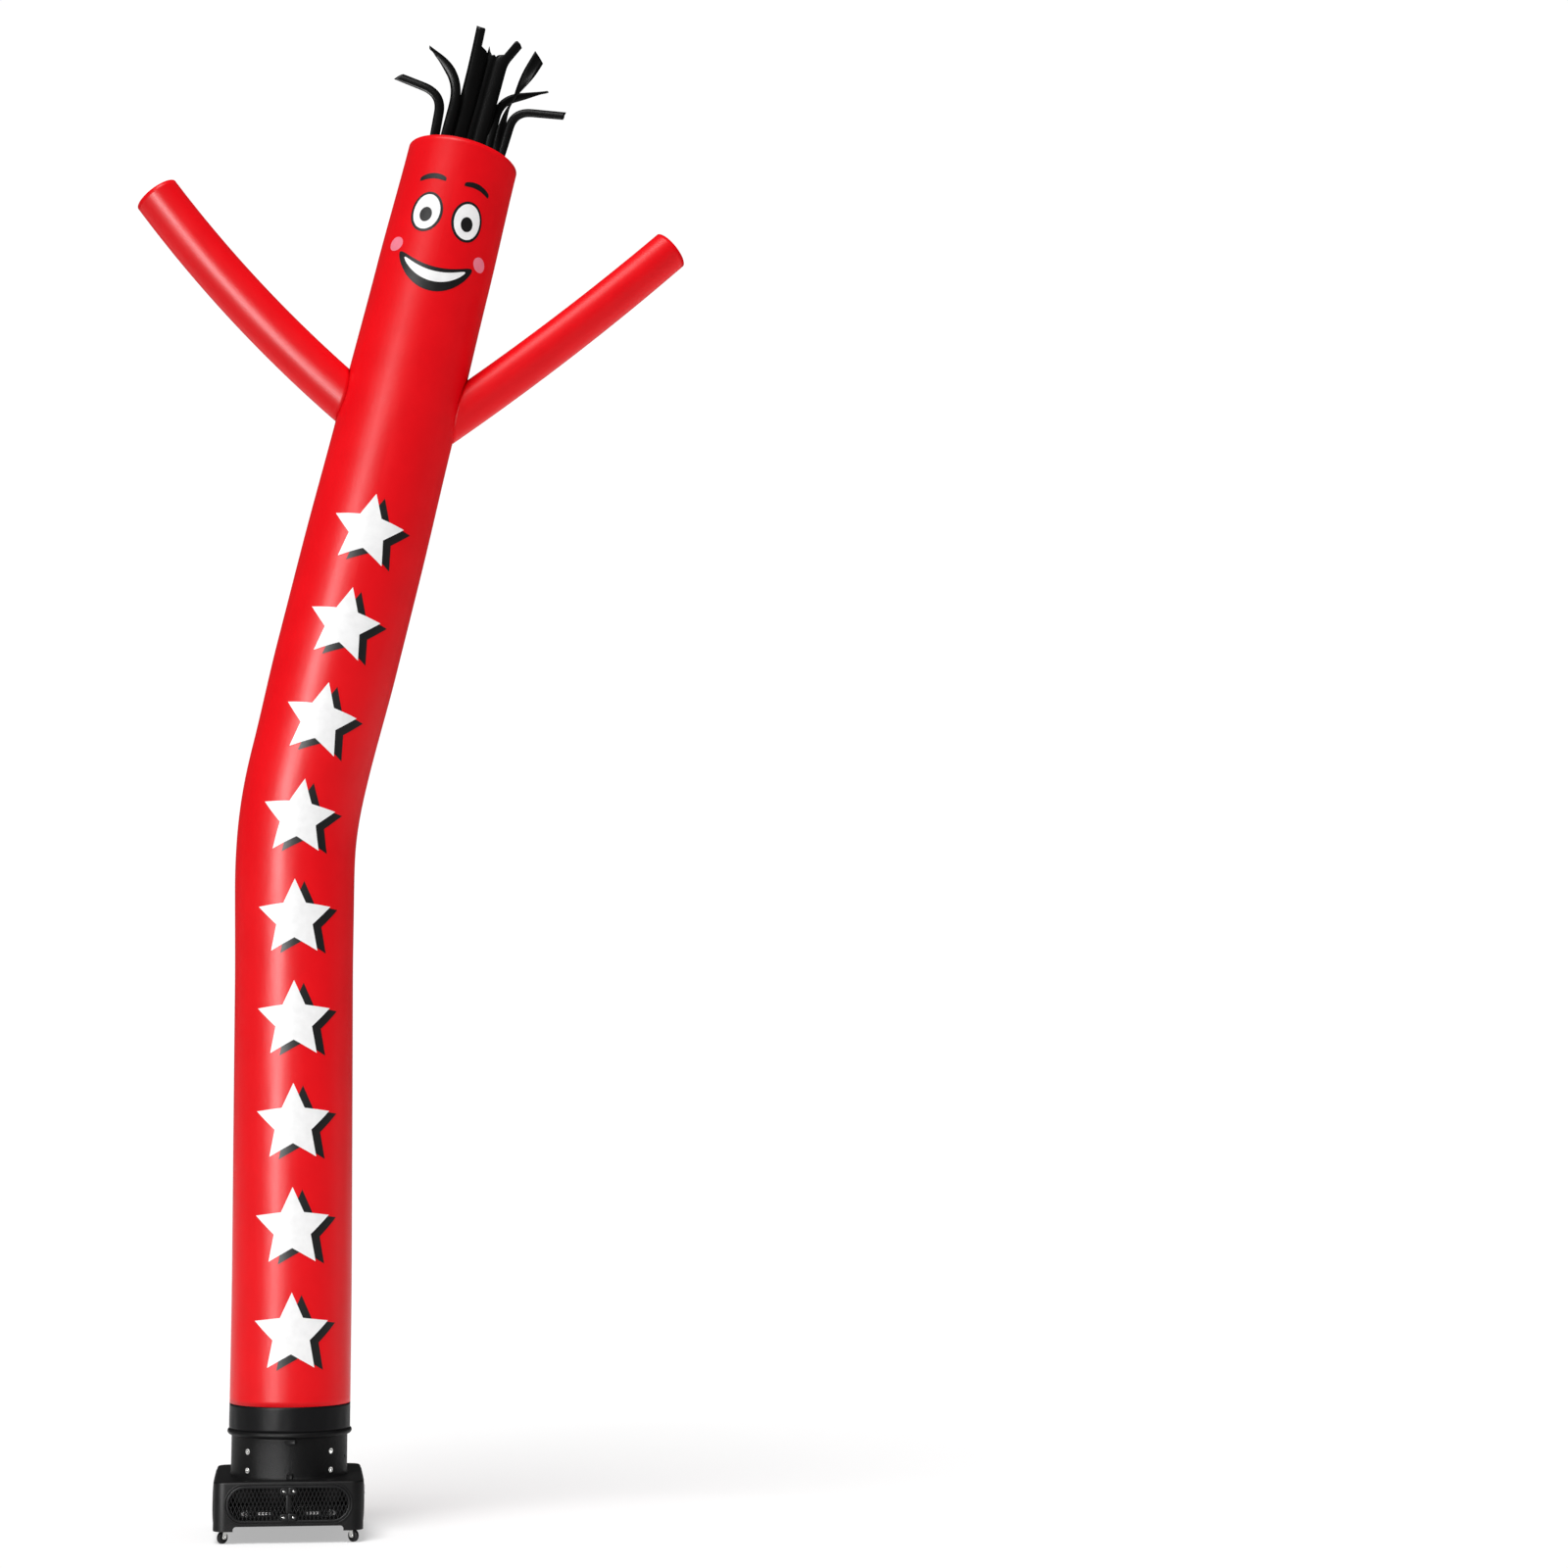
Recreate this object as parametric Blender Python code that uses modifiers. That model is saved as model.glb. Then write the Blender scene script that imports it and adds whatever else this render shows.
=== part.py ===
"""An inflatable air dancer standing full of air on its blower, in metres, +Z up.

The cloth is one upright tube with two arms, a cuff and a tuft of ribbon hair. It grips the collar of a
square blower that rolls on four castors. The front of the dancer looks along -Y. The origin is on the
floor under the middle of the whole, so the blower stands to the left of it.
"""

import math

import bmesh
import bpy
from mathutils import Matrix, Vector

# Driving dimensions of the whole
BLOWER_X = -0.4365  # the blower's axis, left of the middle of the whole
GAP = 0.0003  # between pieces that touch
CLOTH = 0.001  # thickness of the coated nylon

# The blower's square base
BASE_HALF = 0.28
BASE_CORNER = 0.045
BASE_WALL = 0.004
PLATE_TOP = 0.225
EDGE_ROUND = 0.008
FACE_BOTTOM = 0.064
LEG_BOTTOM = 0.046
LEG_REACH = 0.075
FLOOR_PLATE_Z = 0.070
FLOOR_PLATE = 0.004

# The grilles in its four faces
GRILLE_Z = 0.1435
GRILLE_HALF = 0.232
GRILLE_RISE = 0.068
GRILLE_PROUD = 0.003
GRILLE_RIM = 0.007
DIAMOND_WIDE = 0.036
DIAMOND_HIGH = 0.066
DIAMOND_BAR = 0.0045
SEAM_HALF = 0.020

# The collar, an 18 inch outlet that the cuff fits over
COLLAR_R = 0.222
COLLAR_WALL = 0.004
RIDGE_Z = 0.385
RIDGE_R = 0.2385
RIDGE_HALF = 0.013
RIM_Z = 0.445
RIM_R = 0.2286
RIM_HIGH = 0.014
HUB_R = 0.062
HUB_HOLE = 0.044
GUARD_THICK = 0.006
GUARD_LIP = 0.034
TAPE_THICK = 0.0015
MOTOR_R = 0.060
MOTOR_HIGH = 0.19

# The switch on the right face
PANEL_Y = 0.115
PANEL_WIDE = 0.135
PANEL_HIGH = 0.118
PANEL_CORNER = 0.012
SWITCH_WIDE = 0.030
SWITCH_HIGH = 0.036
ROCKER_WIDE = 0.018
ROCKER_HIGH = 0.024
ROCKER_PLAY = 0.0005  # at each end of its pivot; three times that above and below, where it swings

# The castors
CASTOR_AT = 0.235
CASTOR_TRAIL = 0.012
WHEEL_R = 0.0225
WHEEL_WIDE = 0.016
WHEEL_SIDES = 16
AXLE_R = 0.003
BRAKE_REACH = 0.026
BRAKE_WIDE = 0.014
BRAKE_THICK = 0.0025
BRAKE_PLAY = 0.0006  # beside the fork, so that the lever can tip

# The cloth tube
TUBE_SIDES = 24
TUBE_RINGS = 27
TUBE_START = 0.490
TUBE_LENGTH = 5.144
CUFF_R = 0.232
LOW_LEAN = math.radians(-0.5)
HIGH_LEAN = math.radians(13.1)
BEND_FROM, BEND_TO = 1.95, 2.55
ARM_SIDES = 12
ARM_RINGS = 9
HAIR_THICK = 0.0015
HAIR_BAND = 0.045
HAIR_BELOW_RIM = 0.008

# How full the tube stands: distance along it from the cuff, and its radius there
TUBE_FULLNESS = (
    (0.00, 0.2320),
    (1.60, 0.2325),
    (2.10, 0.2370),
    (2.50, 0.2410),
    (2.95, 0.2485),
    (3.35, 0.2490),
    (3.95, 0.2435),
    (4.60, 0.2385),
    (5.144, 0.2320),
)

# Arms: where the middle of each meets the tube, its heading there and at its tip, and its radius
ARMS = {
    "arm_left": dict(root=(0.154, 4.522), heading=(139.0, 127.0), radius=(0.100, 0.096)),
    "arm_right": dict(root=(0.637, 4.470), heading=(37.0, 42.5), radius=(0.090, 0.0855)),
}
ARM_LENGTH = 1.146
ARM_INSIDE = 0.16  # how far an arm is carried into the tube before it is trimmed to it

# Ribbons from left to right: width, length, first lean, where the curl starts and ends, the curl,
# the twist by the tip, and the tip's lean to the back
RIBBONS = (
    dict(width=0.030, length=0.53, lean=-4, curl_from=0.29, curl_to=0.40, curl=-80, twist=10, back=5),
    dict(width=0.030, length=0.61, lean=1, curl_from=0.28, curl_to=0.60, curl=-68, twist=-15, back=-3),
    dict(width=0.056, length=0.71, lean=1, curl_from=0.30, curl_to=0.70, curl=-3, twist=12, back=-2),
    dict(width=0.034, length=0.64, lean=1, curl_from=0.40, curl_to=0.60, curl=6, twist=-20, back=6),
    dict(width=0.052, length=0.70, lean=3, curl_from=0.54, curl_to=0.64, curl=22, twist=-14, back=-2),
    dict(width=0.030, length=0.61, lean=0, curl_from=0.33, curl_to=0.50, curl=62, twist=10, back=8),
    dict(width=0.030, length=0.61, lean=2, curl_from=0.30, curl_to=0.42, curl=16, twist=95, back=-2),
    dict(width=0.030, length=0.53, lean=3, curl_from=0.26, curl_to=0.40, curl=80, twist=-8, back=-7),
)
RIBBON_APART = 0.005
RIBBON_STEPS = 9

# Colours as sRGB, roughness and metallic
FINISHES = {
    "red_nylon": ((0.86, 0.01, 0.06), 0.5, 0.0),
    "black_nylon": ((0.03, 0.03, 0.03), 0.55, 0.0),
    "ribbon_nylon": ((0.02, 0.02, 0.02), 0.4, 0.0),
    "black_plastic": ((0.03, 0.03, 0.03), 0.45, 0.0),
    "collar_plastic": ((0.03, 0.03, 0.03), 0.45, 0.0),
    "guard_plastic": ((0.04, 0.04, 0.04), 0.4, 0.0),
    "hook_tape": ((0.02, 0.02, 0.02), 0.9, 0.0),
    "tyre_black": ((0.02, 0.02, 0.02), 0.6, 0.0),
    "zinc_steel": ((0.75, 0.75, 0.74), 0.25, 1.0),
    "switch_red": ((0.80, 0.05, 0.04), 0.3, 0.0),
    "clear_cover": ((0.85, 0.87, 0.88), 0.1, 0.0),
    "motor_iron": ((0.05, 0.05, 0.05), 0.6, 1.0),
    "lead_black": ((0.02, 0.02, 0.02), 0.5, 0.0),
}

for old in list(bpy.data.objects):
    bpy.data.objects.remove(old, do_unlink=True)
PARTS = bpy.data.collections.new("air_dancer")
CUTTERS = bpy.data.collections.new("cutters")
for collection in (PARTS, CUTTERS):
    bpy.context.scene.collection.children.link(collection)


def finish(name):
    """The Principled material of this finish, made once."""
    if name in bpy.data.materials:
        return bpy.data.materials[name]
    colour, roughness, metallic = FINISHES[name]
    material = bpy.data.materials.new(name)
    material.use_nodes = True
    shader = material.node_tree.nodes["Principled BSDF"]
    linear = [((c + 0.055) / 1.055) ** 2.4 if c > 0.04045 else c / 12.92 for c in colour]
    shader.inputs["Base Color"].default_value = (*linear, 1.0)
    shader.inputs["Roughness"].default_value = roughness
    shader.inputs["Metallic"].default_value = metallic
    return material


def part(name, mesh, material, place=None):
    """A piece of the object from its mesh."""
    obj = bpy.data.objects.new(name, mesh)
    PARTS.objects.link(obj)
    mesh.materials.clear()
    mesh.materials.append(finish(material))
    mesh.shade_smooth()
    mesh.set_sharp_from_angle(angle=math.radians(35))
    if place is not None:
        obj.matrix_world = place
    return obj


def cutter(name, mesh, place=None):
    """A helper that is only subtracted from, or kept in common with, a piece."""
    obj = bpy.data.objects.new(name, mesh)
    CUTTERS.objects.link(obj)
    obj.hide_render = True
    obj.display_type = "WIRE"
    if place is not None:
        obj.matrix_world = place
    return obj


def cut(piece, tool, operation="DIFFERENCE"):
    """Adds the Boolean of a piece with a tool."""
    modifier = piece.modifiers.new(tool.name, "BOOLEAN")
    modifier.operation = operation
    modifier.solver = "EXACT"
    modifier.object = tool
    return modifier


def mesh_of(maker, name="mesh"):
    """A mesh that a function fills through bmesh."""
    bm = bmesh.new()
    maker(bm)
    bmesh.ops.recalc_face_normals(bm, faces=bm.faces)
    mesh = bpy.data.meshes.new(name)
    bm.to_mesh(mesh)
    bm.free()
    return mesh


def box_mesh(size, at=(0, 0, 0), bevel=0.0, edges="Z", segments=2):
    """A box with the edges along one direction rounded, or all of them."""

    def fill(bm):
        bmesh.ops.create_cube(bm, size=1.0)
        bmesh.ops.scale(bm, verts=bm.verts, vec=size)
        if bevel:
            along = {"X": 0, "Y": 1, "Z": 2}.get(edges)
            chosen = []
            for edge in bm.edges:
                run = edge.verts[0].co - edge.verts[1].co
                if along is None or abs(run[along]) > 0.5 * size[along]:
                    chosen.append(edge)
            bmesh.ops.bevel(
                bm, geom=chosen, offset=bevel, segments=segments, profile=0.5, affect="EDGES"
            )
        bmesh.ops.translate(bm, verts=bm.verts, vec=at)

    return mesh_of(fill)


def rod_mesh(radius, length, sides=12, at=(0, 0, 0), axis="Z"):
    """A solid cylinder along one direction, centred at a point."""
    turn = {"X": ("Y", 90), "Y": ("X", 90), "Z": ("Z", 0)}[axis]

    def fill(bm):
        bmesh.ops.create_cone(
            bm,
            cap_ends=True,
            segments=sides,
            radius1=radius,
            radius2=radius,
            depth=length,
            matrix=Matrix.Rotation(math.radians(turn[1]), 4, turn[0]),
        )
        bmesh.ops.translate(bm, verts=bm.verts, vec=at)

    return mesh_of(fill)


def evaluated_mesh(obj):
    """The mesh that an object shows with its modifiers, as a mesh of its own."""
    graph = bpy.context.evaluated_depsgraph_get()
    mesh = bpy.data.meshes.new_from_object(obj.evaluated_get(graph))
    mesh.transform(obj.matrix_world)
    return mesh


def welded(mesh, distance=0.00001):
    """The mesh with points at one place made one."""
    bm = bmesh.new()
    bm.from_mesh(mesh)
    bmesh.ops.remove_doubles(bm, verts=bm.verts, dist=distance)
    bmesh.ops.recalc_face_normals(bm, faces=bm.faces)
    bm.to_mesh(mesh)
    bm.free()
    return mesh


def plate_mesh(outline, holes, thickness):
    """A flat plate in XY from an outline and holes, each a list of (x, y) points."""
    curve = bpy.data.curves.new("outline", "CURVE")
    curve.dimensions = "2D"
    curve.fill_mode = "BOTH"
    curve.extrude = thickness / 2
    for points in (outline, *holes):
        spline = curve.splines.new("POLY")
        spline.points.add(len(points) - 1)
        for point, (x, y) in zip(spline.points, points):
            point.co = (x, y, 0.0, 1.0)
        spline.use_cyclic_u = True
    guide = bpy.data.objects.new("outline", curve)
    CUTTERS.objects.link(guide)
    bpy.context.view_layer.update()
    mesh = welded(evaluated_mesh(guide))
    bpy.data.objects.remove(guide)
    return mesh


def turned(name, profile, steps, material=None, closed=True, place=None):
    """A turned piece from (radius, height) points down its outer side, then up its inner side."""
    mesh = bpy.data.meshes.new(name)
    count = len(profile)
    edges = [(i, i + 1) for i in range(count - 1)]
    if closed:
        edges.append((count - 1, 0))
    mesh.from_pydata([(r, 0.0, z) for r, z in profile], edges, [])
    obj = bpy.data.objects.new(name, mesh)
    (PARTS if material else CUTTERS).objects.link(obj)
    screw = obj.modifiers.new("turn", "SCREW")
    screw.steps = steps
    screw.render_steps = steps
    screw.use_merge_vertices = True
    screw.merge_threshold = 0.0001
    screw.use_smooth_shade = True
    if material:
        mesh.materials.append(finish(material))
    else:
        obj.hide_render = True
        obj.display_type = "WIRE"
    if place is not None:
        obj.matrix_world = place
    return obj


def arc(centre, radius, start, end, steps):
    """Points on an arc between two angles in degrees, both ends included."""
    points = []
    for i in range(steps + 1):
        angle = math.radians(start + (end - start) * i / steps)
        points.append((centre[0] + radius * math.cos(angle), centre[1] + radius * math.sin(angle)))
    return points


def stadium(half, rise, steps=7):
    """The outline of a slot with round ends, anticlockwise."""
    straight = half - rise
    return arc((straight, 0), rise, -90, 90, steps) + arc((-straight, 0), rise, 90, 270, steps)


def rounded_square(half, corner, steps=5):
    """The outline of a square with round corners, anticlockwise."""
    inner = half - corner
    points = []
    for x, y, start in ((1, -1, -90), (1, 1, 0), (-1, 1, 90), (-1, -1, 180)):
        points += arc((x * inner, y * inner), corner, start, start + 90, steps)
    return points


def rounded_rectangle(centre, wide, high, corner, steps=3):
    """The outline of a rectangle with round corners, anticlockwise."""
    points = []
    for x, y, start in ((1, -1, -90), (1, 1, 0), (-1, 1, 90), (-1, -1, 180)):
        at = (centre[0] + x * (wide / 2 - corner), centre[1] + y * (high / 2 - corner))
        points += arc(at, corner, start, start + 90, steps)
    return points


def sector_holes(rings, sectors, rib, steps=3):
    """The gaps between the rings and spokes of a round guard, as outlines."""
    holes = []
    for inner, outer in rings:
        for i in range(sectors):
            middle = 360 * (i + 0.5) / sectors
            spans = [180 / sectors - math.degrees(rib / 2 / r) for r in (inner, outer)]
            near = arc((0, 0), inner, middle + spans[0], middle - spans[0], steps)
            far = arc((0, 0), outer, middle - spans[1], middle + spans[1], steps)
            holes.append(far + near)
    return holes


def ease(value, start, end):
    """Goes smoothly from 0 at start to 1 at end."""
    t = min(1.0, max(0.0, (value - start) / (end - start)))
    return t * t * (3 - 2 * t)


def along_table(rows, distance):
    """The value of a table of (distance, value) rows at a distance, eased between rows."""
    for (a, low), (b, high) in zip(rows, rows[1:]):
        if distance <= b:
            return low + (high - low) * ease(distance, a, b)
    return rows[-1][1]


# The cloth


def tube_lean(distance):
    """How far the tube leans to the right at a distance from the cuff, as an angle from upright."""
    return LOW_LEAN * ease(distance, 0.25, 0.6) + (HIGH_LEAN - LOW_LEAN) * ease(
        distance, BEND_FROM, BEND_TO
    )


def tube_line(rings=TUBE_RINGS, fine=20):
    """Points along the middle of the tube, as (point, distance) pairs."""
    x, z = BLOWER_X, TUBE_START
    points = [(Vector((x, 0, z)), 0.0)]
    step = TUBE_LENGTH / (rings - 1) / fine
    distance = 0.0
    for _ in range(rings - 1):
        for _ in range(fine):
            lean = tube_lean(distance + step / 2)
            x += math.sin(lean) * step
            z += math.cos(lean) * step
            distance += step
        points.append((Vector((x, 0, z)), distance))
    return points


def open_tube(name, points, radii, sides):
    """The outer skin of a tube through points, open at both ends, as a mesh."""
    curve = bpy.data.curves.new(name, "CURVE")
    curve.dimensions = "3D"
    curve.bevel_depth = 1.0
    curve.bevel_resolution = (sides - 4) // 2
    curve.use_fill_caps = False
    spline = curve.splines.new("POLY")
    spline.points.add(len(points) - 1)
    for node, point, radius in zip(spline.points, points, radii):
        node.co = (*point, 1.0)
        node.radius = radius
    guide = bpy.data.objects.new(name, curve)
    CUTTERS.objects.link(guide)
    bpy.context.view_layer.update()
    mesh = evaluated_mesh(guide)
    bpy.data.objects.remove(guide)
    return welded(mesh)


def solid_tube(name, points, radii, sides):
    """The same tube closed at both ends, for trimming others."""
    mesh = open_tube(name, points, radii, sides)
    bm = bmesh.new()
    bm.from_mesh(mesh)
    bmesh.ops.holes_fill(bm, edges=bm.edges)
    bmesh.ops.recalc_face_normals(bm, faces=bm.faces)
    bm.to_mesh(mesh)
    bm.free()
    return mesh


def cloth_wall(piece, thickness=CLOTH):
    """Gives a skin its thickness, inwards."""
    wall = piece.modifiers.new("cloth", "SOLIDIFY")
    wall.thickness = thickness
    wall.offset = -1.0
    wall.use_even_offset = True


def arm_line(arm, inside, length=ARM_LENGTH):
    """Points from inside the tube to an arm's tip, with the radius at each."""
    x, z = arm["root"][0] + BLOWER_X, arm["root"][1]
    first, last = arm["heading"]
    heading = math.radians(first)
    points = [Vector((x - inside * math.cos(heading), 0, z - inside * math.sin(heading)))]
    radii = [arm["radius"][0]]
    step = length / (ARM_RINGS - 1)
    for i in range(ARM_RINGS):
        share = i / (ARM_RINGS - 1)
        points.append(Vector((x, 0, z)))
        radii.append(arm["radius"][0] + (arm["radius"][1] - arm["radius"][0]) * share)
        heading = math.radians(first + (last - first) * (share + 0.5 / (ARM_RINGS - 1)))
        x += step * math.cos(heading)
        z += step * math.sin(heading)
    return points, radii


def make_tube_and_arms():
    line = tube_line()
    points = [point for point, _ in line]
    radii = [along_table(TUBE_FULLNESS, distance) for _, distance in line]
    body = part("body_tube", open_tube("body_tube", points, radii, TUBE_SIDES), "red_nylon")
    cloth_wall(body)
    envelope_radii = [radius + GAP for radius in radii]
    envelope = cutter("tube_envelope", solid_tube("envelope", points, envelope_radii, TUBE_SIDES))
    for name, arm in ARMS.items():
        arm_points, arm_radii = arm_line(arm, ARM_INSIDE)
        sleeve = part(name, open_tube(name, arm_points, arm_radii, ARM_SIDES), "red_nylon")
        cloth_wall(sleeve)
        cut(sleeve, envelope)
        heading = (arm_points[1] - arm_points[0]).normalized()
        bore = [arm_points[1] - heading * ARM_INSIDE, arm_points[1] + heading * ARM_INSIDE]
        bore_radii = [arm_radii[0] - 2 * CLOTH] * 2
        cut(body, cutter(name + "_bore", solid_tube(name + "_bore", bore, bore_radii, ARM_SIDES)))


def make_cuff():
    bottom = RIDGE_Z + RIDGE_HALF * 0.86
    profile = [(CUFF_R, TUBE_START - GAP), (CUFF_R, bottom)]
    profile += [(CUFF_R - CLOTH, bottom), (CUFF_R - CLOTH, TUBE_START - GAP)]
    turned("cuff", profile, TUBE_SIDES, "black_nylon", place=Matrix.Translation((BLOWER_X, 0, 0)))


def ribbon_path(ribbon, root):
    """Points up the middle of a ribbon, each with the direction across it."""
    side, rise, depth = root.x, 0.0, root.y
    step = ribbon["length"] / RIBBON_STEPS
    across_root = Vector((root.y, -root.x, 0)).normalized()
    rows = []
    for i in range(1, RIBBON_STEPS + 1):
        distance = step * (i - 0.5)
        curled = ease(distance, ribbon["curl_from"], ribbon["curl_to"])
        heading = math.radians(ribbon["lean"] + ribbon["curl"] * curled)
        back = math.radians(ribbon["back"]) * ease(distance, 0.0, 0.3)
        side += step * math.sin(heading) * math.cos(back)
        rise += step * math.cos(heading) * math.cos(back)
        depth += step * math.sin(back)
        flat = Vector((math.cos(heading), 0, -math.sin(heading)))
        across = across_root.lerp(flat, ease(distance, 0.0, 0.25)).normalized()
        tangent = Vector((math.sin(heading), 0, math.cos(heading)))
        twist = math.radians(ribbon["twist"]) * ease(distance, 0.15, ribbon["length"])
        across = Matrix.Rotation(twist, 3, tangent) @ across
        rows.append((Vector((side, depth, rise)), across))
    return rows


def make_hair():
    """Ribbons that grow from one narrow band sewn inside the back of the head's rim."""
    line = tube_line()
    rim, lean = line[-1][0], tube_lean(TUBE_LENGTH)
    inner = (TUBE_FULLNESS[-1][1] - CLOTH) * math.cos(math.pi / TUBE_SIDES) - 2 * GAP
    widths = [ribbon["width"] for ribbon in RIBBONS]
    total = sum(widths) + RIBBON_APART * (len(widths) - 1)
    bm = bmesh.new()
    across = -total / 2
    columns = []
    for i, ribbon in enumerate(RIBBONS):
        columns.append((across, across + ribbon["width"], ribbon))
        across += ribbon["width"]
        if i < len(RIBBONS) - 1:
            columns.append((across, across + RIBBON_APART, None))
            across += RIBBON_APART

    def on_band(distance, rise):
        angle = distance / inner
        return Vector((inner * math.sin(angle), inner * math.cos(angle), rise))

    def pair(distance):
        low = bm.verts.new(on_band(distance, -HAIR_BELOW_RIM - HAIR_BAND))
        high = bm.verts.new(on_band(distance, -HAIR_BELOW_RIM))
        return low, high

    left = pair(columns[0][0])
    for start, end, ribbon in columns:
        right = pair(end)
        bm.faces.new((left[1], right[1], right[0], left[0]))
        if ribbon:
            root = on_band((start + end) / 2, 0)
            below = (left[1], right[1])
            for centre, sideways in ribbon_path(ribbon, Vector((root.x, root.y))):
                half = sideways * ribbon["width"] / 2
                lift = Vector((0, 0, -HAIR_BELOW_RIM))
                above = (bm.verts.new(centre - half + lift), bm.verts.new(centre + half + lift))
                bm.faces.new((above[0], above[1], below[1], below[0]))
                below = above
        left = right
    mesh = bpy.data.meshes.new("hair")
    bm.to_mesh(mesh)
    bm.free()
    place = Matrix.Translation(rim) @ Matrix.Rotation(lean, 4, "Y")
    hair = part("hair", mesh, "ribbon_nylon", place)
    cloth_wall(hair, HAIR_THICK)


# The blower


def on_face(turn):
    """The place of a piece that is drawn for the front face, on the face that is turned by an angle."""
    return Matrix.Translation((BLOWER_X, 0, 0)) @ Matrix.Rotation(math.radians(turn), 4, "Z")


FACES = {"front": 0, "right": 90, "back": 180, "left": 270}


def make_housing():
    """The moulded square shell: a top plate, four faces and four legs."""
    height = PLATE_TOP - LEG_BOTTOM

    def fill(bm):
        bmesh.ops.create_cube(bm, size=1.0)
        bmesh.ops.scale(bm, verts=bm.verts, vec=(2 * BASE_HALF, 2 * BASE_HALF, height))
        upright = [e for e in bm.edges if abs(e.verts[0].co.z - e.verts[1].co.z) > height / 2]
        bmesh.ops.bevel(
            bm, geom=upright, offset=BASE_CORNER, segments=5, profile=0.5, affect="EDGES"
        )
        low = min(v.co.z for v in bm.verts)
        bottom = [f for f in bm.faces if all(abs(v.co.z - low) < 1e-6 for v in f.verts)]
        bmesh.ops.delete(bm, geom=bottom, context="FACES_ONLY")
        top = [e for e in bm.edges if all(v.co.z > 0 for v in e.verts)]
        bmesh.ops.bevel(bm, geom=top, offset=EDGE_ROUND, segments=2, profile=0.5, affect="EDGES")
        bmesh.ops.translate(bm, verts=bm.verts, vec=(0, 0, LEG_BOTTOM + height / 2))

    housing = part("housing", mesh_of(fill), "black_plastic", on_face(0))
    cloth_wall(housing, BASE_WALL)
    slot = plate_mesh(stadium(GRILLE_HALF, GRILLE_RISE), [], 3 * BASE_HALF)
    slot.transform(Matrix.Translation((0, 0, GRILLE_Z)) @ Matrix.Rotation(math.pi / 2, 4, "X"))
    gap_size = (2 * (BASE_HALF - LEG_REACH), 3 * BASE_HALF, 2 * (FACE_BOTTOM - LEG_BOTTOM))
    gap = box_mesh(gap_size, (0, 0, LEG_BOTTOM), bevel=0.012, edges="Y", segments=3)
    for turn in (0, 90):
        cut(housing, cutter(f"grille_slot_{turn}", slot, on_face(turn)))
        cut(housing, cutter(f"leg_gap_{turn}", gap, on_face(turn)))
    bore = rod_mesh(COLLAR_R - COLLAR_WALL, 0.05, 36, (0, 0, PLATE_TOP))
    cut(housing, cutter("collar_bore", bore, on_face(0)))


def diamond(x, z, wide, high):
    return [(x + wide / 2, z), (x, z + high / 2), (x - wide / 2, z), (x, z - high / 2)]


def inside_stadium(x, z, half, rise):
    straight = half - rise
    beyond = max(0.0, abs(x) - straight)
    return math.hypot(beyond, z) < rise


def grille_holes(blocked):
    """Diamonds between crossed bars, where a whole one fits within the rim and clear of what is blocked."""
    wide = DIAMOND_WIDE - 2 * DIAMOND_BAR
    high = wide * DIAMOND_HIGH / DIAMOND_WIDE
    half, rise = GRILLE_HALF - GRILLE_RIM, GRILLE_RISE - GRILLE_RIM
    holes = []
    for row in range(-3, 4):
        z = row * DIAMOND_HIGH / 2
        columns = int(2 * GRILLE_HALF / DIAMOND_WIDE) + 2
        for column in range(-columns, columns + 1):
            x = (column + 0.5 * (row % 2)) * DIAMOND_WIDE
            corners = diamond(x, z, wide, high)
            fits = all(inside_stadium(cx, cz, half, rise) for cx, cz in corners)
            if fits and not any(blocked(cx, cz) for cx, cz in corners):
                holes.append(corners)
    return holes


def make_grilles():
    """A moulded grille in each face. The seam of the two halves runs down the front and the back."""

    def seam(x, z):
        return abs(x) < SEAM_HALF

    def panel(x, z):
        near_y = abs(x - PANEL_Y) < PANEL_WIDE / 2 + DIAMOND_BAR
        return near_y and abs(z) < PANEL_HIGH / 2 + DIAMOND_BAR

    blocked = {"front": seam, "back": seam, "right": panel, "left": lambda x, z: False}
    outline = stadium(GRILLE_HALF - GAP, GRILLE_RISE - GAP)
    thick = BASE_WALL + GRILLE_PROUD
    for face, turn in FACES.items():
        holes = grille_holes(blocked[face])
        if face == "right":
            opening = (PANEL_WIDE + 2 * GAP, PANEL_HIGH + 2 * GAP)
            holes.append(rounded_rectangle((PANEL_Y, 0), *opening, PANEL_CORNER))
        mesh = plate_mesh(outline, holes, thick)
        stand = Matrix.Translation((0, -BASE_HALF + BASE_WALL - thick / 2, GRILLE_Z))
        mesh.transform(stand @ Matrix.Rotation(math.pi / 2, 4, "X"))
        part(f"grille_{face}", mesh, "guard_plastic", on_face(turn))


def make_seam_lugs():
    """Screwed plates that hold the two halves together over the grilles' seams."""
    wide, high, thick = 0.062, 0.026, 0.004
    y = -BASE_HALF - GRILLE_PROUD - GAP - thick / 2
    outline = rounded_rectangle((0, 0), wide, high, 0.010)
    for face in ("front", "back"):
        for level, z in (("upper", GRILLE_Z + 0.047), ("lower", GRILLE_Z - 0.047)):
            mesh = plate_mesh(outline, [], thick)
            mesh.transform(Matrix.Translation((0, y, z)) @ Matrix.Rotation(math.pi / 2, 4, "X"))
            part(f"lug_{face}_{level}", mesh, "guard_plastic", on_face(FACES[face]))


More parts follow.
